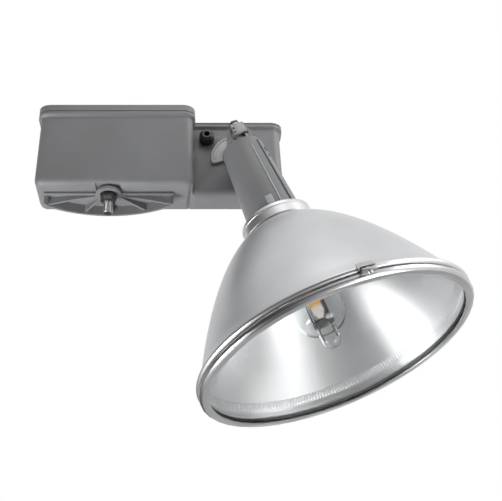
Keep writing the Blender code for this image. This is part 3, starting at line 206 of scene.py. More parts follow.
class Finish:
    """A material's node tree, built one named step at a time."""

    def __init__(self, name):
        self.material = bpy.data.materials.new(name)
        self.material.use_nodes = True
        self.tree = self.material.node_tree
        self.main = self.tree.nodes["Principled BSDF"]

    def set(self, socket, value):
        self.main.inputs[socket].default_value = value

    def link(self, source, socket):
        self.tree.links.new(source, self.main.inputs[socket])

    def place(self, matrix=None):
        """Object coordinates, turned into a piece's own frame where one is given."""
        coordinates = add_node(self.tree, "ShaderNodeTexCoord").outputs["Object"]
        if matrix is None:
            return coordinates
        inverse = matrix.inverted()
        mapping = add_node(self.tree, "ShaderNodeMapping", {
            "Vector": coordinates, "Location": inverse.to_translation(), "Rotation": inverse.to_euler("XYZ")})
        return mapping.outputs["Vector"]

    def height(self, place):
        """How far up its own frame a point lies."""
        return add_node(self.tree, "ShaderNodeSeparateXYZ", {0: place}).outputs["Z"]

    def noise(self, place, scale, detail=3.0, roughness=0.5):
        made = add_node(self.tree, "ShaderNodeTexNoise", {
            "Vector": place, "Scale": scale, "Detail": detail, "Roughness": roughness})
        return made.outputs["Fac"]

    def ramp(self, value, stops):
        made = add_node(self.tree, "ShaderNodeValToRGB", {"Fac": value})
        while len(made.color_ramp.elements) < len(stops):
            made.color_ramp.elements.new(0.5)
        for element, (position, colour) in zip(made.color_ramp.elements, stops):
            element.position = position
            element.color = (*colour, 1.0)
        return made.outputs["Color"]

    def colour_by(self, value, dark, light):
        """Base colour between two tones, over the middle of a noise."""
        self.link(self.ramp(value, [(NOISE_LOW, dark), (NOISE_HIGH, light)]), "Base Color")

    def gloss_by(self, value, rough):
        """Roughness between two values, over the middle of a noise."""
        made = add_node(self.tree, "ShaderNodeMapRange", {
            "Value": value, "From Min": NOISE_LOW, "From Max": NOISE_HIGH,
            "To Min": rough[0], "To Max": rough[1]})
        self.link(made.outputs["Result"], "Roughness")

    def relief_by(self, value, strength, distance):
        made = add_node(self.tree, "ShaderNodeBump", {
            "Height": value, "Strength": strength, "Distance": distance})
        self.link(made.outputs["Normal"], "Normal")


def varied(name, dark, light, rough, metallic=0.0, cloud=9.0, grain=700.0):
    """A finish whose colour and gloss drift slowly over the piece, with a fine grain in relief."""
    made = Finish(name)
    place = made.place()
    made.colour_by(made.noise(place, cloud, 4.0), dark, light)
    made.gloss_by(made.noise(place, cloud * 6), rough)
    made.set("Metallic", metallic)
    made.relief_by(made.noise(place, grain, 2.0), GRAIN_STRENGTH, GRAIN_DEPTH)
    return made.material


def shades(colour, share):
    """A colour a little darker and a little lighter."""
    return tuple(value * (1 - share) for value in colour), tuple(value * (1 + share) for value in colour)


powder_coat = varied("grey_powder_coat", *shades(PAINT_GREY, PAINT_DRIFT), (0.40, 0.52))


def smooth(mesh, angle=40):
    """Smooth shading that keeps the edges over an angle sharp."""
    mesh.shade_smooth()
    mesh.set_sharp_from_angle(angle=math.radians(angle))


def add_object(name, mesh):
    made = bpy.data.objects.new(name, mesh)
    bpy.context.scene.collection.objects.link(made)
    return made


def item_from(bm, name):
    """An object that has no finish yet."""
    mesh = bpy.data.meshes.new(name)
    bm.to_mesh(mesh)
    bm.free()
    return add_object(name, mesh)


def add_mesh(name, bm, material, angle=40):
    """A finished piece: an object at the origin with its place in its mesh."""
    made = item_from(bm, name)
    made.data.materials.append(material)
    smooth(made.data, angle)
    return made


def declare(piece, body, slot, *nodes):
    """Parents a piece to the body it rides on and hides the nodes it stands for; the slot is not used."""
    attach(piece, body)
    if nodes:
        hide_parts(*nodes)
    return piece


def settled(live, name):
    """Keeps what an object's modifiers give as a plain mesh, and removes the object."""
    bpy.context.view_layer.update()
    evaluated = live.evaluated_get(bpy.context.evaluated_depsgraph_get())
    mesh = bpy.data.meshes.new_from_object(evaluated)
    bpy.data.objects.remove(live)
    mesh.name = name
    return add_object(name, mesh)


def rounded_copy(name, node, material, radius, angle=32, segments=3, cutter=None):
    """A copy of a node's solid, cut where a cutter is given, with its sharp edges rounded."""
    bm = bmesh.new()
    bm.from_mesh(NODES[node].data)
    bmesh.ops.remove_doubles(bm, verts=bm.verts, dist=WELD)
    bmesh.ops.dissolve_limit(bm, angle_limit=math.radians(FLAT_TURN), verts=bm.verts, edges=bm.edges)
    rough = add_mesh(name + "_rough", bm, material)
    if cutter:
        cut = rough.modifiers.new("cut", "BOOLEAN")
        cut.operation = "DIFFERENCE"
        cut.solver = "EXACT"
        cut.object = cutter
    bevel = rough.modifiers.new("edge_round", "BEVEL")
    bevel.width = radius
    bevel.segments = segments
    bevel.limit_method = "ANGLE"
    bevel.angle_limit = math.radians(angle)
    made = settled(rough, name)
    if cutter:
        bpy.data.objects.remove(cutter)
    smooth(made.data, 50)
    return made


declare(rounded_copy("fan_casting", "fan_base", powder_coat, FAN_EDGE), "base", "painted_casting", "fan_base")


# Crossarm bolt: a dark M20 hexagon bolt with a bright rolled thread, its flat washer let
# into the hub and its nut under it. All are zinc plated steel. The thread is one helix
# round the shank.
THREAD_RADIUS = 9.6 * MM
THREAD_PITCH = 2.5 * MM
THREAD_LOW = -49 * MM
THREAD_TURNS = 18.0
CREST_SHARE = 0.36
zinc_plate = varied("zinc_plate", (0.46, 0.46, 0.45), (0.6, 0.6, 0.58), (0.24, 0.42),
                    metallic=0.9, cloud=35.0, grain=1400.0)
dark_zinc = varied("dark_zinc", (0.07, 0.072, 0.076), (0.12, 0.122, 0.126), (0.3, 0.5),
                   metallic=0.85, cloud=30.0, grain=1500.0)


def dress(material, *nodes):
    """Gives its finish to each node that shows as it is."""
    for node in nodes:
        NODES[node].data.materials.clear()
        NODES[node].data.materials.append(material)


dress(dark_zinc, "mounting_bolt", "flat_washer", "swivel_washer", "hex_nut")


class Pattern:
    """A geometry tree with named inputs, for what repeats or winds round a piece."""

    def __init__(self, name, **inputs):
        self.tree = bpy.data.node_groups.new(name, "GeometryNodeTree")
        face = self.tree.interface
        face.new_socket(name="Geometry", in_out="INPUT", socket_type="NodeSocketGeometry")
        self.ids = {}
        for label, kind in inputs.items():
            socket = face.new_socket(name=label, in_out="INPUT", socket_type="NodeSocket" + kind)
            self.ids[label] = socket.identifier
        face.new_socket(name="Geometry", in_out="OUTPUT", socket_type="NodeSocketGeometry")
        self.given = self.tree.nodes.new("NodeGroupInput").outputs
        self.out = self.tree.nodes.new("NodeGroupOutput")

    def end(self, geometry):
        """Ends the tree with real geometry in the given material."""
        real = add_node(self.tree, "GeometryNodeRealizeInstances", {"Geometry": geometry})
        paint = add_node(self.tree, "GeometryNodeSetMaterial", {
            "Geometry": real.outputs["Geometry"], "Material": self.given["Material"]})
        self.tree.links.new(paint.outputs["Geometry"], self.out.inputs[0])
        return self

    def end_with_items(self, points, rotation=None):
        """Ends the tree with the given item on each point."""
        info = add_node(self.tree, "GeometryNodeObjectInfo", {"Object": self.given["Item"]})
        inputs = {"Points": points, "Instance": info.outputs["Geometry"]}
        if rotation:
            inputs["Rotation"] = rotation
        return self.end(add_node(self.tree, "GeometryNodeInstanceOnPoints", inputs).outputs["Instances"])


def grown(name, pattern, values, start=None):
    """Runs a pattern on a carrier mesh and keeps the result as a plain mesh."""
    carrier = start or bpy.data.objects.new(name + "_carrier", bpy.data.meshes.new(name + "_carrier"))
    bpy.context.scene.collection.objects.link(carrier)
    modifier = carrier.modifiers.new(name, "NODES")
    modifier.node_group = pattern.tree
    for label, value in values.items():
        modifier[pattern.ids[label]] = value
    return settled(carrier, name)


def thread_pattern():
    """One ridge that climbs round a shank."""
    made = Pattern("bolt_thread", Radius="Float", Pitch="Float", Turns="Float", Material="Material")
    tree, given = made.tree, made.given
    spiral = add_node(tree, "GeometryNodeCurveSpiral", {
        "Resolution": 24, "Rotations": given["Turns"], "Start Radius": given["Radius"],
        "End Radius": given["Radius"], "Height": number(tree, "MULTIPLY", given["Turns"], given["Pitch"])})
    crest = add_node(tree, "GeometryNodeCurvePrimitiveCircle", {
        "Resolution": 6, "Radius": number(tree, "MULTIPLY", given["Pitch"], CREST_SHARE)})
    ridge = add_node(tree, "GeometryNodeCurveToMesh", {
        "Curve": spiral.outputs["Curve"], "Profile Curve": crest.outputs["Curve"], "Fill Caps": True})
    return made.end(ridge.outputs["Mesh"])


thread = grown("bolt_thread", thread_pattern(), {
    "Radius": THREAD_RADIUS, "Pitch": THREAD_PITCH, "Turns": THREAD_TURNS, "Material": zinc_plate})
thread.data.transform(Matrix.Translation((0, 0, THREAD_LOW)))
thread.data.shade_smooth()
declare(thread, "base", "dark_zinc")


# Ballast housing: the L-shaped die casting with its flange, its lid, which is deeper over
# the ballast, the gasket between them and the lid's screws. Same grey coat as the fan.
# A V-shaped groove parts its two compartments underneath.
HOUSING_EDGE = 1.2 * MM
LID_EDGE = 1.6 * MM
GROOVE_ENDS = ((197 * MM, -70 * MM), (183.5 * MM, 120 * MM))
GROOVE_LOW, GROOVE_HIGH = 5.0 * MM, 14.8 * MM
GROOVE_HALF_MOUTH, GROOVE_HALF_ROOT = 12.5 * MM, 0.4 * MM
LID_SCREWS = 6
LID_SCREW_RADIUS, LID_SCREW_HEIGHT = 5.5 * MM, 4 * MM
ON_AXIS = 1e-7
SCREW_COLUMNS = 24
# Black rubber for the gaskets and seals; the same black also paints shade into the socket housing's two
# slots.
black_rubber = varied("black_rubber", (0.012, 0.012, 0.013), (0.024, 0.024, 0.025), (0.6, 0.8),
                      cloud=25.0, grain=1200.0)


def parting_groove():
    """The cutter for the groove, which runs from before the front wall to behind the back."""
    section = ((-GROOVE_HALF_MOUTH, GROOVE_LOW), (GROOVE_HALF_MOUTH, GROOVE_LOW),
               (GROOVE_HALF_ROOT, GROOVE_HIGH), (-GROOVE_HALF_ROOT, GROOVE_HIGH))
    bm = bmesh.new()
    front, back = [[bm.verts.new((centre + across, depth, up)) for across, up in section]
                   for centre, depth in GROOVE_ENDS]
    for k in range(4):
        after = (k + 1) % 4
        bm.faces.new((front[k], front[after], back[after], back[k]))
    bm.faces.new(front)
    bm.faces.new(back)
    bmesh.ops.recalc_face_normals(bm, faces=bm.faces)
    cutter = add_mesh("groove_cutter", bm, powder_coat)
    cutter.hide_render = True
    return cutter


housing_casting = rounded_copy("housing_casting", "ballast_housing", powder_coat, HOUSING_EDGE,
                               cutter=parting_groove())
declare(housing_casting, "housing", "painted_casting", "ballast_housing")
declare(rounded_copy("lid_casting", "housing_cover", powder_coat, LID_EDGE), "housing", "painted_casting",
        "housing_cover")
dress(black_rubber, "cover_gasket")


def spun(profile, steps, closed=False):
    """A solid of revolution about Z from (radius, height) points."""
    bm = bmesh.new()
    turns = [2 * math.pi * k / steps for k in range(steps)]
    rings = []
    for radius, height in profile:
        if radius < ON_AXIS:
            rings.append([bm.verts.new((0, 0, height))])
            continue
        rings.append([bm.verts.new((radius * math.cos(turn), radius * math.sin(turn), height))
                      for turn in turns])
    pairs = list(zip(rings, rings[1:]))
    if closed:
        pairs.append((rings[-1], rings[0]))
    for low, high in pairs:
        for k in range(steps):
            after = (k + 1) % steps
            if len(low) == 1:
                bm.faces.new((low[0], high[k], high[after]))
            elif len(high) == 1:
                bm.faces.new((low[k], low[after], high[0]))
            else:
                bm.faces.new((low[k], low[after], high[after], high[k]))
    bmesh.ops.recalc_face_normals(bm, faces=bm.faces)
    return bm


def screw_head(radius, height, name):
    """A round-edged head with a straight slot across it, centred on its own middle."""
    bm = spun([(0, 0), (radius, 0), (radius, height * 0.55), (radius * 0.82, height * 0.9),
               (radius * 0.5, height), (0, height)], SCREW_COLUMNS)
    slot = bmesh.ops.create_cube(bm, size=1.0)["verts"]
    bmesh.ops.scale(bm, vec=(radius * 1.5, radius * 0.22, height * 0.3), verts=slot)
    bmesh.ops.translate(bm, vec=(0, 0, height * 0.95), verts=slot)
    bmesh.ops.translate(bm, vec=(0, 0, -height / 2), verts=bm.verts)
    return item_from(bm, name)


def points_pattern():
    """Sets one item on each point of the carrier."""
    made = Pattern("set_on_points", Item="Object", Material="Material")
    return made.end_with_items(made.given["Geometry"])


def screws_for(name, nodes, item, material, turn, body, slot):
    """One mesh of screws, one on the middle of each node that it stands for."""
    points = []
    for node in nodes:
        low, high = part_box(node)
        points.append(tuple(turn.inverted() @ ((Vector(low) + Vector(high)) / 2)))
    mesh = bpy.data.meshes.new(name + "_points")
    mesh.from_pydata(points, [], [])
    carrier = bpy.data.objects.new(name + "_points", mesh)
    made = grown(name, points_pattern(), {"Item": item, "Material": material}, carrier)
    made.data.transform(turn)
    smooth(made.data)
    bpy.data.objects.remove(item)
    return declare(made, body, slot, *nodes)


lid_screw = screw_head(LID_SCREW_RADIUS, LID_SCREW_HEIGHT, "lid_screw")
screws_for("lid_screws", [f"cover_screw_{k + 1}" for k in range(LID_SCREWS)], lid_screw, zinc_plate,
           Matrix.Identity(4), "housing", "zinc_plate")


# Cable gland: a black moulded nylon body and cap with grip ribs, and a rubber seal with
# its hole open for the supply cable. It screws into the wall beside the knuckle.
GLAND_X, GLAND_Z = 229 * MM, 165 * MM
KNUCKLE_WALL = 13 * MM
HOUSING_BOTTOM = 8 * MM
FRONT_LEAN = math.radians(-1.5)
GRIPS = 18
GRIP_SIZE = (1.6 * MM, 1.6 * MM, 9 * MM)
GRIP_RADIUS, GRIP_HEIGHT = 17 * MM, 14 * MM
GRIP_ROUND = 0.4 * MM
black_nylon = varied("black_nylon", (0.018, 0.018, 0.02), (0.03, 0.03, 0.032), (0.32, 0.46),
                     cloud=30.0, grain=900.0)
dress(black_nylon, "gland_body", "gland_cap")
dress(black_rubber, "gland_seal")
gland_y = KNUCKLE_WALL - (GLAND_Z - HOUSING_BOTTOM) * math.tan(FRONT_LEAN)
gland_frame = (Matrix.Translation((GLAND_X, gland_y, GLAND_Z))
               @ Matrix.Rotation(math.pi / 2 + FRONT_LEAN, 4, "X"))


def round_pattern():
    """Sets items round a ring or along part of it, each facing outwards."""
    made = Pattern("set_round", Item="Object", Count="Int", Radius="Float", First="Float", Step="Float",
                   Material="Material")
    tree, given = made.tree, made.given
    line = add_node(tree, "GeometryNodeMeshLine", {"Count": given["Count"]})
    index = add_node(tree, "GeometryNodeInputIndex")
    angle = number(tree, "MULTIPLY_ADD", index.outputs["Index"], given["Step"], given["First"])
    across = number(tree, "MULTIPLY", number(tree, "COSINE", angle), given["Radius"])
    along = number(tree, "MULTIPLY", number(tree, "SINE", angle), given["Radius"])
    spot = add_node(tree, "ShaderNodeCombineXYZ", {0: across, 1: along})
    move = add_node(tree, "GeometryNodeSetPosition", {
        "Geometry": line.outputs["Mesh"], "Position": spot.outputs[0]})
    facing = add_node(tree, "ShaderNodeCombineXYZ", {2: angle})
    return made.end_with_items(move.outputs["Geometry"], facing.outputs[0])


def bar(size, centre, rounding, lean=0.0):
    """A block with rounded edges, leaned about Y."""
    bm = bmesh.new()
    bmesh.ops.create_cube(bm, size=1.0)
    bmesh.ops.scale(bm, vec=size, verts=bm.verts)
    bmesh.ops.rotate(bm, matrix=Matrix.Rotation(lean, 3, "Y"), verts=bm.verts)
    if rounding:
        bmesh.ops.bevel(bm, geom=bm.edges, offset=rounding, segments=2, profile=0.5, affect="EDGES")
    bmesh.ops.translate(bm, vec=centre, verts=bm.verts)
    return bm


def set_round(name, item_bm, count, radius, first, step, material, place):
    """Repeats a small mesh on a ring that lies in its own frame."""
    item = item_from(item_bm, name + "_item")
    made = grown(name, round_pattern(), {
        "Item": item, "Count": count, "Radius": radius, "First": first, "Step": step, "Material": material})
    bpy.data.objects.remove(item)
    made.data.transform(place)
    smooth(made.data)
    return made


grips = set_round("gland_grips", bar(GRIP_SIZE, (0, 0, GRIP_HEIGHT), GRIP_ROUND), GRIPS, GRIP_RADIUS, 0.0,
                  2 * math.pi / GRIPS, black_nylon, gland_frame)
declare(grips, "housing", "black_plastic")


# Aiming scale: a half-round plate of light cast metal on the knuckle wall, with a raised
# rim and raised graduations that catch the light, read against the head as it tilts.
TILT_AT = Vector((0.303, -0.047224, 0.114))
LEAN = math.radians(-4.6)
TILT = math.radians(18.9)
knuckle = Matrix.Translation(TILT_AT) @ Matrix.Rotation(LEAN, 4, "X")
head = knuckle @ Matrix.Rotation(-TILT, 4, "Y")
SCALE_INNER, SCALE_OUTER = 35 * MM, 64 * MM
SCALE_NEAR, SCALE_FAR = 55.1 * MM, 59.1 * MM
SCALE_START, SCALE_END = 20, 196
SCALE_STEPS = 72
SCALE_RIM = 4.4 * MM
PLATE_ROUND, RIM_ROUND, TICK_ROUND = 0.6 * MM, 0.5 * MM, 0.2 * MM
TICKS = 23
TICK_SIZE = (6.5 * MM, 0.9 * MM, 1.4 * MM)
TICK_RADIUS = 55 * MM
TICK_START, TICK_SWEEP = 26, 164
# A lighter cast metal: the scale's own tone, and a painted highlight where it lies on the socket housing's
# parting line.
light_casting_and_painted_highlight = varied("light_casting_and_painted_highlight", (0.3, 0.305, 0.31), (0.4, 0.405, 0.41), (0.38, 0.5),
                       metallic=0.25, cloud=25.0, grain=900.0)


def round_sharp(bm, radius, segments=2):
    """Rounds every edge of a mesh that turns by more than 40 degrees."""
    sharp = [edge for edge in bm.edges if edge.is_manifold and edge.calc_face_angle(0.0) > math.radians(40)]
    bmesh.ops.bevel(bm, geom=sharp, offset=radius, segments=segments, profile=0.5, affect="EDGES",
                    clamp_overlap=True)
    return bm


def arc_plate(inner, outer, start, end, near, far):
    """A flat plate that follows an arc in X and Z, between two depths in Y."""
    bm = bmesh.new()
    rings = []
    for k in range(SCALE_STEPS + 1):
        turn = math.radians(start + (end - start) * k / SCALE_STEPS)
        along = Vector((math.cos(turn), 0, math.sin(turn)))
        rings.append([bm.verts.new(along * radius + Vector((0, depth, 0)))
                      for radius, depth in ((inner, near), (outer, near), (outer, far), (inner, far))])
    for low, high in zip(rings, rings[1:]):
        for k in range(4):
            after = (k + 1) % 4
            bm.faces.new((low[k], low[after], high[after], high[k]))
    bm.faces.new(rings[0])
    bm.faces.new(list(reversed(rings[-1])))
    bmesh.ops.recalc_face_normals(bm, faces=bm.faces)
    return bm


plate_bm = round_sharp(arc_plate(SCALE_INNER, SCALE_OUTER, SCALE_START, SCALE_END,
                                 SCALE_NEAR + 1 * MM, SCALE_FAR), PLATE_ROUND)
plate_bm.transform(knuckle)
declare(add_mesh("scale_plate", plate_bm, light_casting_and_painted_highlight), "housing", "painted_casting", "aiming_scale")
rim_outer = SCALE_OUTER - 0.1 * MM
rim_bm = round_sharp(arc_plate(rim_outer - SCALE_RIM, rim_outer, SCALE_START + 0.5, SCALE_END - 0.5,
                               SCALE_NEAR - 0.8 * MM, SCALE_NEAR + 1.4 * MM), RIM_ROUND)
rim_bm.transform(knuckle)
declare(add_mesh("scale_rim", rim_bm, light_casting_and_painted_highlight), "housing", "painted_casting")
tick_frame = (knuckle @ Matrix.Translation((0, SCALE_NEAR + 0.8 * MM, 0))
              @ Matrix.Rotation(math.pi / 2, 4, "X"))
ticks = set_round("scale_ticks", bar(TICK_SIZE, (0, 0, 0), TICK_ROUND), TICKS, TICK_RADIUS,
                  math.radians(TICK_START), math.radians(TICK_SWEEP) / (TICKS - 1), zinc_plate, tick_frame)
declare(ticks, "housing", "painted_casting")


# Socket housing: a tapered grey casting with a knuckle barrel across its top, which turns
# on the hollow pivot stem. On its front show a thin parting line in a lighter tone, which is
# a painted highlight along the crease, a plain raised panel in the same lighter tone, and two
# small slots drawn as thin black patches proud of the surface: painted shade for their hollows.
SOCKET_EDGE = 1.1 * MM
CONE_TOP, CONE_BOTTOM = -30 * MM, -232 * MM
CONE_TOP_RADIUS, CONE_FLARE = 49 * MM, 13 * MM
CONE_SINK = 1 * MM
SEAM_TURNS, SEAM_ENDS, SEAM_PROUD = (-80.5, -77.5), (-48 * MM, -226 * MM), 1.2 * MM
PANEL_TURNS, PANEL_ENDS, PANEL_PROUD = (-108, -92), (-200 * MM, -228 * MM), 1.0 * MM
SLOT_TURNS, SLOT_PROUD = (-38, -33), 0.6 * MM
SLOT_ENDS = ((-52 * MM, -66 * MM), (-76 * MM, -82 * MM))
declare(rounded_copy("socket_casting", "socket_housing", powder_coat, SOCKET_EDGE, 34), "lamp_head",
        "painted_casting", "socket_housing")
dress(zinc_plate, "pivot_nut", "gland_locknut")
dress(powder_coat, "pivot_stem")


def cone_radius(height):
    return CONE_TOP_RADIUS + CONE_FLARE * (CONE_TOP - height) / (CONE_TOP - CONE_BOTTOM)


def cone_patch(turns, ends, proud, across, down):
    """A raised strip or panel that follows the socket housing's taper."""
    bm = bmesh.new()
    grid = {}
    for row in range(down + 1):
        height = ends[0] + (ends[1] - ends[0]) * row / down
        for column in range(across + 1):
            turn = math.radians(turns[0] + (turns[1] - turns[0]) * column / across)
            for layer, rise in ((0, -CONE_SINK), (1, proud)):
                radius = cone_radius(height) + rise
                spot = (radius * math.cos(turn), radius * math.sin(turn), height)
                grid[row, column, layer] = bm.verts.new(spot)
    for row in range(down):
        for column in range(across):
            for layer in (0, 1):
                bm.faces.new([grid[row + a, column + b, layer] for a, b in ((0, 0), (1, 0), (1, 1), (0, 1))])
    for row in range(down):
        for column in (0, across):
            bm.faces.new([grid[row, column, 0], grid[row + 1, column, 0], grid[row + 1, column, 1],
                          grid[row, column, 1]])
    for column in range(across):
        for row in (0, down):
            bm.faces.new([grid[row, column, 0], grid[row, column + 1, 0], grid[row, column + 1, 1],
                          grid[row, column, 1]])
    bmesh.ops.recalc_face_normals(bm, faces=bm.faces)
    round_sharp(bm, min(proud, 0.8 * MM) * 0.8)
    bm.transform(head)
    return bm


# The parting line is lighter than the coat round it: a painted highlight along the crease.
declare(add_mesh("casting_seam", cone_patch(SEAM_TURNS, SEAM_ENDS, SEAM_PROUD, 2, 24), light_casting_and_painted_highlight),
        "lamp_head", "painted_casting")
declare(add_mesh("cast_panel", cone_patch(PANEL_TURNS, PANEL_ENDS, PANEL_PROUD, 6, 4), light_casting_and_painted_highlight),
        "lamp_head", "painted_casting")
# Two thin black patches proud of the casting stand for the slots: painted shade where the hollows would be
# dark.
for which, ends in enumerate(SLOT_ENDS, 1):
    declare(add_mesh(f"vent_slot_{which}", cone_patch(SLOT_TURNS, ends, SLOT_PROUD, 2, 3), black_rubber),
            "lamp_head", "black_rubber")


# Clamp on the knuckle: a satin cast block with a black hexagon bolt, which locks the tilt
# against the scale, and a cheek before it with two dark screws, a stud and its washer.
BLOCK_EDGE = 0.8 * MM
CHEEK_SIZE = (33 * MM, 6 * MM, 33 * MM)
CHEEK_CENTRE = (1 * MM, -37.6 * MM, 10.5 * MM)
CHEEK_ROUND = 2.2 * MM
CHEEK_FACE = 40.0 * MM
CHEEK_SCREWS = ((-10 * MM, 13 * MM, 2.6 * MM), (-10 * MM, 2 * MM, 2.2 * MM))
PLUG_HEIGHT, PLUG_CHAMFER = 1.6 * MM, 0.3 * MM
STUD_RADIUS, STUD_LENGTH, STUD_CHAMFER = 4 * MM, 20 * MM, 0.8 * MM
STUD_FOOT = (11 * MM, -38.5 * MM, -24 * MM)
WASHER_RADIUS, WASHER_THICK, WASHER_CHAMFER = 7.5 * MM, 2 * MM, 0.4 * MM
WASHER_FOOT = (11 * MM, -38.5 * MM, -8.2 * MM)
ROD_COLUMNS = 28
satin_block = varied("satin_block", (0.2, 0.2, 0.205), (0.29, 0.29, 0.295), (0.4, 0.52),
                     metallic=0.6, cloud=20.0, grain=900.0)
declare(rounded_copy("clamp_casting", "clamp_block", satin_block, BLOCK_EDGE, 40, 2), "lamp_head",
        "satin_aluminium", "clamp_block")
dress(black_nylon, "clamp_bolt")
dress(zinc_plate, "clamp_washer")
cheek_bm = round_sharp(bar(CHEEK_SIZE, CHEEK_CENTRE, 0.0), CHEEK_ROUND, 3)
cheek_bm.transform(head)
declare(add_mesh("clamp_cheek", cheek_bm, satin_block), "lamp_head", "satin_aluminium")


def round_rod(radius, length, chamfer, place):
    """A rod with chamfered ends, from its own origin up along Z, set in its place."""
    bm = spun([(0, 0), (radius - chamfer, 0), (radius, chamfer), (radius, length - chamfer),
               (radius - chamfer, length), (0, length)], ROD_COLUMNS)
    bm.transform(place)
    return bm


front_on = head @ Matrix.Rotation(math.pi / 2, 4, "X")
for which, (across, up, radius) in enumerate(CHEEK_SCREWS, 1):
    plug_frame = front_on @ Matrix.Translation((across, up, CHEEK_FACE))
    plug = round_rod(radius, PLUG_HEIGHT, PLUG_CHAMFER, plug_frame)
    declare(add_mesh(f"cheek_screw_{which}", plug, black_rubber), "lamp_head", "black_rubber")
stud = round_rod(STUD_RADIUS, STUD_LENGTH, STUD_CHAMFER, head @ Matrix.Translation(STUD_FOOT))
declare(add_mesh("cheek_stud", stud, satin_block), "lamp_head", "zinc_plate")
stud_washer = round_rod(WASHER_RADIUS, WASHER_THICK, WASHER_CHAMFER, head @ Matrix.Translation(WASHER_FOOT))
declare(add_mesh("cheek_washer", stud_washer, black_nylon), "lamp_head", "dark_zinc")


# Reflector: a deep bowl spun from one aluminium disc over a former, which leaves fine
# turning rings all round it, with its rim rolled to a bead. A band of short flutes runs
# round the inside of the rim.
RIM = 300 * MM
BEAD = 6.5 * MM
BEAD_START, BEAD_SWEEP, BEAD_STEPS = -150, 260, 14
FOCUS = 67 * MM
VERTEX = 247 * MM
NECK = 72 * MM
SHEET = 2.5 * MM
BOWL_END = RIM - 2 * BEAD
RIM_PLANE = VERTEX + BOWL_END ** 2 / (4 * FOCUS) + 2 * BEAD
ROWS, COLUMNS = 44, 160
RING_DEPTH = 0.25 * MM
FLUTES = 252
FLUTE_SIZE = (2.4 * MM, 3.8 * MM, 18 * MM)
FLUTE_WALL = 281 * MM
FLUTE_ROUND = 0.8 * MM
FLUTE_ABOVE_RIM = 26 * MM


def ring_metal(name, dark, light, rough, pitch, strength):
    """Spun metal: rings across the head's axis in gloss and relief, and slow dull patches."""
    made = Finish(name)
    place = made.place(head)
    along = add_node(made.tree, "ShaderNodeCombineXYZ", {"Z": made.height(place)})
    rings = made.noise(along.outputs[0], pitch, 4.0, 0.65)
    slow = made.noise(place, 5.0, 4.0)
    made.colour_by(slow, dark, light)
    half = number(made.tree, "MULTIPLY", slow, 0.5)
    made.gloss_by(number(made.tree, "MULTIPLY_ADD", rings, 0.5, half), rough)
    made.set("Metallic", 1.0)
    made.relief_by(rings, strength, RING_DEPTH)
    return made.material


spun_outside = ring_metal("spun_aluminium", (0.5, 0.505, 0.515), (0.6, 0.605, 0.61), (0.36, 0.48),
                          pitch=260.0, strength=0.16)
spun_inside = ring_metal("brightened_aluminium", (0.62, 0.62, 0.625), (0.72, 0.72, 0.725), (0.32, 0.44),
                         pitch=180.0, strength=0.03)


def depth_at(radius):
    """How far below the knuckle the bowl's inside lies at a radius."""
    return VERTEX + radius * radius / (4 * FOCUS)


def reflector_mesh():
    """One closed wall: the parabolic inside, the rolled bead and the outside."""
    radii = [NECK + (BOWL_END - NECK) * k / (ROWS - 1) for k in range(ROWS)]
    inside = [(radius, -depth_at(radius)) for radius in radii]
    outside = [(radius + SHEET * 0.7, -depth_at(radius) + SHEET * 0.75) for radius in radii]
    inside[-1] = (BOWL_END - 1 * MM, -depth_at(BOWL_END))
    outside[-1] = (BOWL_END + SHEET, -depth_at(BOWL_END) + SHEET * 1.5)
    bead = []
    for k in range(BEAD_STEPS + 1):
        turn = math.radians(BEAD_START + BEAD_SWEEP * k / BEAD_STEPS)
        bead.append((RIM - BEAD + BEAD * math.cos(turn), -RIM_PLANE + BEAD + BEAD * math.sin(turn)))
    bm = spun(inside + bead + list(reversed(outside)), COLUMNS, True)
    for face in bm.faces:
        middle = face.calc_center_median()
        radius = math.hypot(middle.x, middle.y)
        inner_limit = -depth_at(radius) + SHEET * 0.4 + 0.2 * MM
        face.material_index = 1 if radius < BOWL_END - 1 * MM and middle.z < inner_limit else 0
    bm.transform(head)
    return bm


bowl = add_mesh("reflector_bowl", reflector_mesh(), spun_outside, 60)
bowl.data.materials.append(spun_inside)
declare(bowl, "lamp_head", "satin_aluminium", "reflector")
wall_lean = math.atan(2 * FOCUS / FLUTE_WALL)
flutes = set_round("rim_flutes", bar(FLUTE_SIZE, (0, 0, 0), FLUTE_ROUND, -wall_lean), FLUTES,
                   FLUTE_WALL + 0.2 * MM, 0.0, 2 * math.pi / FLUTES, spun_inside,
                   head @ Matrix.Translation((0, 0, -RIM_PLANE + FLUTE_ABOVE_RIM)))
declare(flutes, "lamp_head", "satin_aluminium")


# Neck collar: a turned aluminium ring that clamps the reflector's neck to the socket
# housing, over a rubber seal, with four screws.
COLLAR_TOP = CONE_BOTTOM - 2.6 * MM
COLLAR_BORE = 62.7 * MM
COLLAR_EDGE = 80 * MM
COLLAR_SHELF = COLLAR_TOP - 16 * MM
COLLAR_COLUMNS = 120
COLLAR_SCREWS = 4
COLLAR_SCREW_RADIUS, COLLAR_SCREW_HEIGHT = 3.5 * MM, 3 * MM
turned_bright = ring_metal("turned_aluminium", (0.56, 0.56, 0.57), (0.66, 0.66, 0.67), (0.36, 0.46),
                           pitch=600.0, strength=0.12)


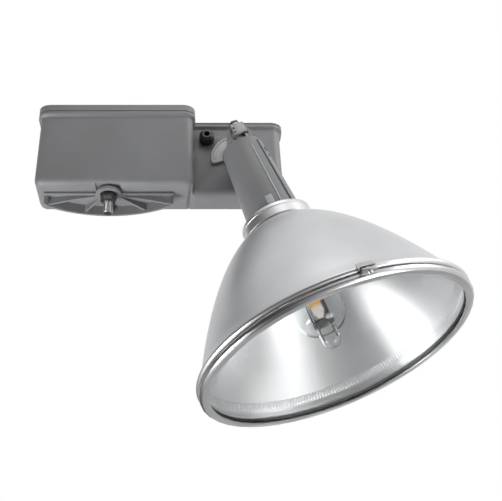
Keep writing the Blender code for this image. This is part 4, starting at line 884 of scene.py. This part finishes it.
def collar_mesh():
    """The ring's section, with a shallow groove round its edge, turned about the head's axis."""
    low = -depth_at(NECK + SHEET) + 3 * MM
    edge, top = COLLAR_EDGE, COLLAR_TOP
    profile = [
        (COLLAR_BORE, top), (COLLAR_BORE, COLLAR_SHELF), (NECK - 0.3 * MM, COLLAR_SHELF),
        (NECK - 0.3 * MM, low), (NECK + SHEET, low - 1 * MM), (edge - 2 * MM, low - 0.6 * MM),
        (edge, low + 1.4 * MM), (edge, top - 12 * MM), (edge - 1 * MM, top - 11 * MM),
        (edge - 1 * MM, top - 9.5 * MM), (edge, top - 8.5 * MM), (edge, top - 2 * MM),
        (edge - 0.7 * MM, top - 0.6 * MM), (edge - 2 * MM, top),
    ]
    bm = spun(profile, COLLAR_COLUMNS, True)
    bm.transform(head)
    return bm


declare(add_mesh("collar_ring", collar_mesh(), turned_bright), "lamp_head", "bright_aluminium", "neck_collar")
dress(black_rubber, "collar_seal")
collar_screw = screw_head(COLLAR_SCREW_RADIUS, COLLAR_SCREW_HEIGHT, "collar_screw")
screws_for("collar_screws", [f"collar_screw_{k + 1}" for k in range(COLLAR_SCREWS)], collar_screw, zinc_plate,
           head, "lamp_head", "zinc_plate")


# Lens door: a bright ring with a lug for its captive screw, hinged on the rim, holding
# the clear tempered lens and its gasket.
BAND_EDGE = 0.7 * MM
LENS_EDGE, LENS_CHORD = 285.5 * MM, 277 * MM
LENS_SAG, LENS_THICK = 14 * MM, 4 * MM
LENS_SEAT = -RIM_PLANE - 1.6 * MM - 15 * MM + 3.3 * MM
LENS_ROWS, LENS_COLUMNS = 16, 128
polished_band = ring_metal("polished_band", (0.44, 0.44, 0.45), (0.55, 0.55, 0.56), (0.24, 0.36),
                           pitch=500.0, strength=0.1)
declare(rounded_copy("door_band", "door_ring", polished_band, BAND_EDGE, 30, 2), "lens_door",
        "bright_aluminium", "door_ring")
dress(zinc_plate, "hinge_leaf", "hinge_pin", "catch_tab", "door_screw")
dress(black_rubber, "lens_gasket")


def glass(name, tint, ior, rough):
    """Clear glass with a faint waviness and dust in its gloss."""
    made = Finish(name)
    place = made.place()
    made.colour_by(made.noise(place, 12.0), tuple(value * 0.985 for value in tint), tint)
    made.set("Transmission Weight", 1.0)
    made.set("IOR", ior)
    made.gloss_by(made.noise(place, 60.0), rough)
    made.relief_by(made.noise(place, 18.0, 1.0), 0.05, 0.3 * MM)
    return made.material


lens_clear = glass("tempered_lens", (0.97, 0.98, 0.98), ior=1.06, rough=(0.0, 0.02))


def lens_mesh():
    """A shallow dome with a flat edge that lies in the door's seat."""
    ball = (LENS_CHORD * LENS_CHORD + LENS_SAG * LENS_SAG) / (2 * LENS_SAG)
    outer = []
    for k in range(LENS_ROWS + 1):
        radius = LENS_CHORD * (1 - k / LENS_ROWS)
        outer.append((radius, LENS_SEAT - (math.sqrt(ball * ball - radius * radius) - (ball - LENS_SAG))))
    inner = [(radius, height + LENS_THICK) for radius, height in outer]
    edge = [(LENS_EDGE, LENS_SEAT + LENS_THICK), (LENS_EDGE, LENS_SEAT)]
    bm = spun(list(reversed(inner)) + edge + outer, LENS_COLUMNS)
    bm.transform(head)
    return bm


declare(add_mesh("lens_sheet", lens_mesh(), lens_clear, 60), "lens_door", "clear_glass", "lens_glass")


# Lamp and its socket: a glazed porcelain mogul socket with a brass shell, and a clear
# metal-halide lamp with a quartz arc tube in a shroud on a wire frame.
LAMP_AT = head @ Matrix.Translation((0, 0, -271 * MM)) @ Matrix.Rotation(math.pi, 4, "X")
LAMP_LENGTH = 292 * MM
BULB_START, BULB_NECK_LENGTH = 35.3 * MM, 34 * MM
BULB_BASE, BULB_NECK, BULB_WIDEST, BULB_TIP = 22 * MM, 25 * MM, 57 * MM, 21 * MM
BULB_WIDE_AT, BULB_SHOULDER = LAMP_LENGTH * 0.67, LAMP_LENGTH * 0.856
BULB_WALL = 2.0 * MM
NECK_STEPS, SHOULDER_STEPS, TIP_STEPS, BULB_COLUMNS = 8, 8, 6, 72
ARC_MIDDLE, ARC_HALF = LAMP_LENGTH * 0.61, 45 * MM
# Strength of the arc tube's painted glow, which stands in for light that can't reach it inside the glass.
ARC_PAINTED_GLOW = 0.55
porcelain = varied("glazed_porcelain", (0.72, 0.7, 0.66), (0.8, 0.78, 0.74), (0.12, 0.22),
                   cloud=15.0, grain=300.0)
brass = varied("brass", (0.62, 0.45, 0.2), (0.76, 0.57, 0.27), (0.22, 0.38),
               metallic=1.0, cloud=40.0, grain=1200.0)
nickel = varied("nickel_wire", (0.09, 0.088, 0.085), (0.17, 0.165, 0.16), (0.28, 0.42),
                metallic=1.0, cloud=60.0, grain=1500.0)
bulb_clear = glass("bulb_glass", (0.93, 0.945, 0.945), ior=1.5, rough=(0.0, 0.02))
quartz = glass("shroud_quartz", (0.93, 0.94, 0.95), ior=1.2, rough=(0.0, 0.04))
dress(porcelain, "lamp_socket")
dress(brass, "socket_screw_shell", "socket_contact", "lamp_base")
dress(zinc_plate, "socket_bracket")
dress(nickel, "lamp_frame")
dress(quartz, "lamp_shroud")


def bulb_profile():
    """The bulb's outline: a swelling neck, a round shoulder and a domed tip."""
    points = [(BULB_BASE, BULB_START)]
    neck_end = BULB_START + BULB_NECK_LENGTH
    for k in range(NECK_STEPS + 1):
        share = k / NECK_STEPS
        swell = (1 - math.cos(math.pi * share)) / 2
        points.append((BULB_NECK + (BULB_WIDEST - BULB_NECK) * swell,
                       neck_end + (BULB_WIDE_AT - neck_end) * share))
    for k in range(1, SHOULDER_STEPS + 1):
        turn = math.pi / 2 * k / SHOULDER_STEPS
        inward = math.cos(turn) ** 0.8 if k < SHOULDER_STEPS else 0.0
        radius = BULB_TIP + (BULB_WIDEST - BULB_TIP) * inward
        points.append((radius, BULB_WIDE_AT + (BULB_SHOULDER - BULB_WIDE_AT) * math.sin(turn)))
    points.append((BULB_TIP, LAMP_LENGTH - BULB_TIP))
    for k in range(1, TIP_STEPS + 1):
        turn = math.pi / 2 * k / TIP_STEPS
        points.append((BULB_TIP * math.cos(turn) if k < TIP_STEPS else 0.0,
                       LAMP_LENGTH - BULB_TIP + BULB_TIP * math.sin(turn)))
    return points


def bulb_mesh():
    """A thin wall between the outline and its offset."""
    outer = bulb_profile()
    inner = [(max(radius - BULB_WALL, 0.0), height - (BULB_WALL if radius == 0 else 0))
             for radius, height in outer]
    bm = spun(list(reversed(inner)) + outer, BULB_COLUMNS)
    bm.transform(LAMP_AT)
    return bm


declare(add_mesh("bulb_envelope", bulb_mesh(), bulb_clear, 60), "lamp_head", "clear_glass", "lamp_bulb")


def arc_tube_glass():
    """Quartz with an amber dose in its middle and white coating at its ends, glowing faintly in these tones:
    painted light in place of the lamp light that the glass shells keep off it.
    """
    made = Finish("arc_tube_quartz")
    along = add_node(made.tree, "ShaderNodeMapRange", {
        "Value": made.height(made.place(LAMP_AT)), "From Min": ARC_MIDDLE - ARC_HALF,
        "From Max": ARC_MIDDLE + ARC_HALF})
    white, amber = (0.86, 0.85, 0.82), (0.9, 0.46, 0.08)
    tone = made.ramp(along.outputs["Result"], [(0.1, white), (0.2, amber), (0.62, amber), (0.74, white)])
    made.link(tone, "Base Color")
    made.link(tone, "Emission Color")
    made.set("Emission Strength", ARC_PAINTED_GLOW)
    made.gloss_by(made.noise(made.place(), 90.0), (0.12, 0.3))
    made.set("Transmission Weight", 0.1)
    return made.material


dress(arc_tube_glass(), "arc_tube")


# Electrical gear on the housing's floor: a laminated steel core with its varnished copper
# winding on plated steel feet, two capacitors in aluminium cans under a strap, the ignitor
# and the terminal block.
laminated = varied("laminated_core", (0.06, 0.055, 0.055), (0.11, 0.1, 0.1), (0.4, 0.6),
                   metallic=0.6, cloud=30.0, grain=900.0)
winding = varied("varnished_winding", (0.3, 0.12, 0.05), (0.48, 0.22, 0.09), (0.25, 0.4),
                 metallic=0.6, cloud=60.0, grain=1400.0)
can_metal = varied("capacitor_can", (0.62, 0.62, 0.63), (0.74, 0.74, 0.75), (0.22, 0.36),
                   metallic=1.0, cloud=20.0, grain=900.0)
white_card = varied("terminal_moulding", (0.62, 0.61, 0.57), (0.72, 0.71, 0.67), (0.45, 0.6),
                    cloud=25.0, grain=800.0)
dress(laminated, "ballast_core")
dress(winding, "ballast_coil")
dress(can_metal, "capacitor_1", "capacitor_2")
dress(black_nylon, "ignitor")
dress(white_card, "terminal_block")
dress(zinc_plate, "capacitor_strap", "ballast_foot_1", "ballast_foot_2")


bpy.context.view_layer.update()
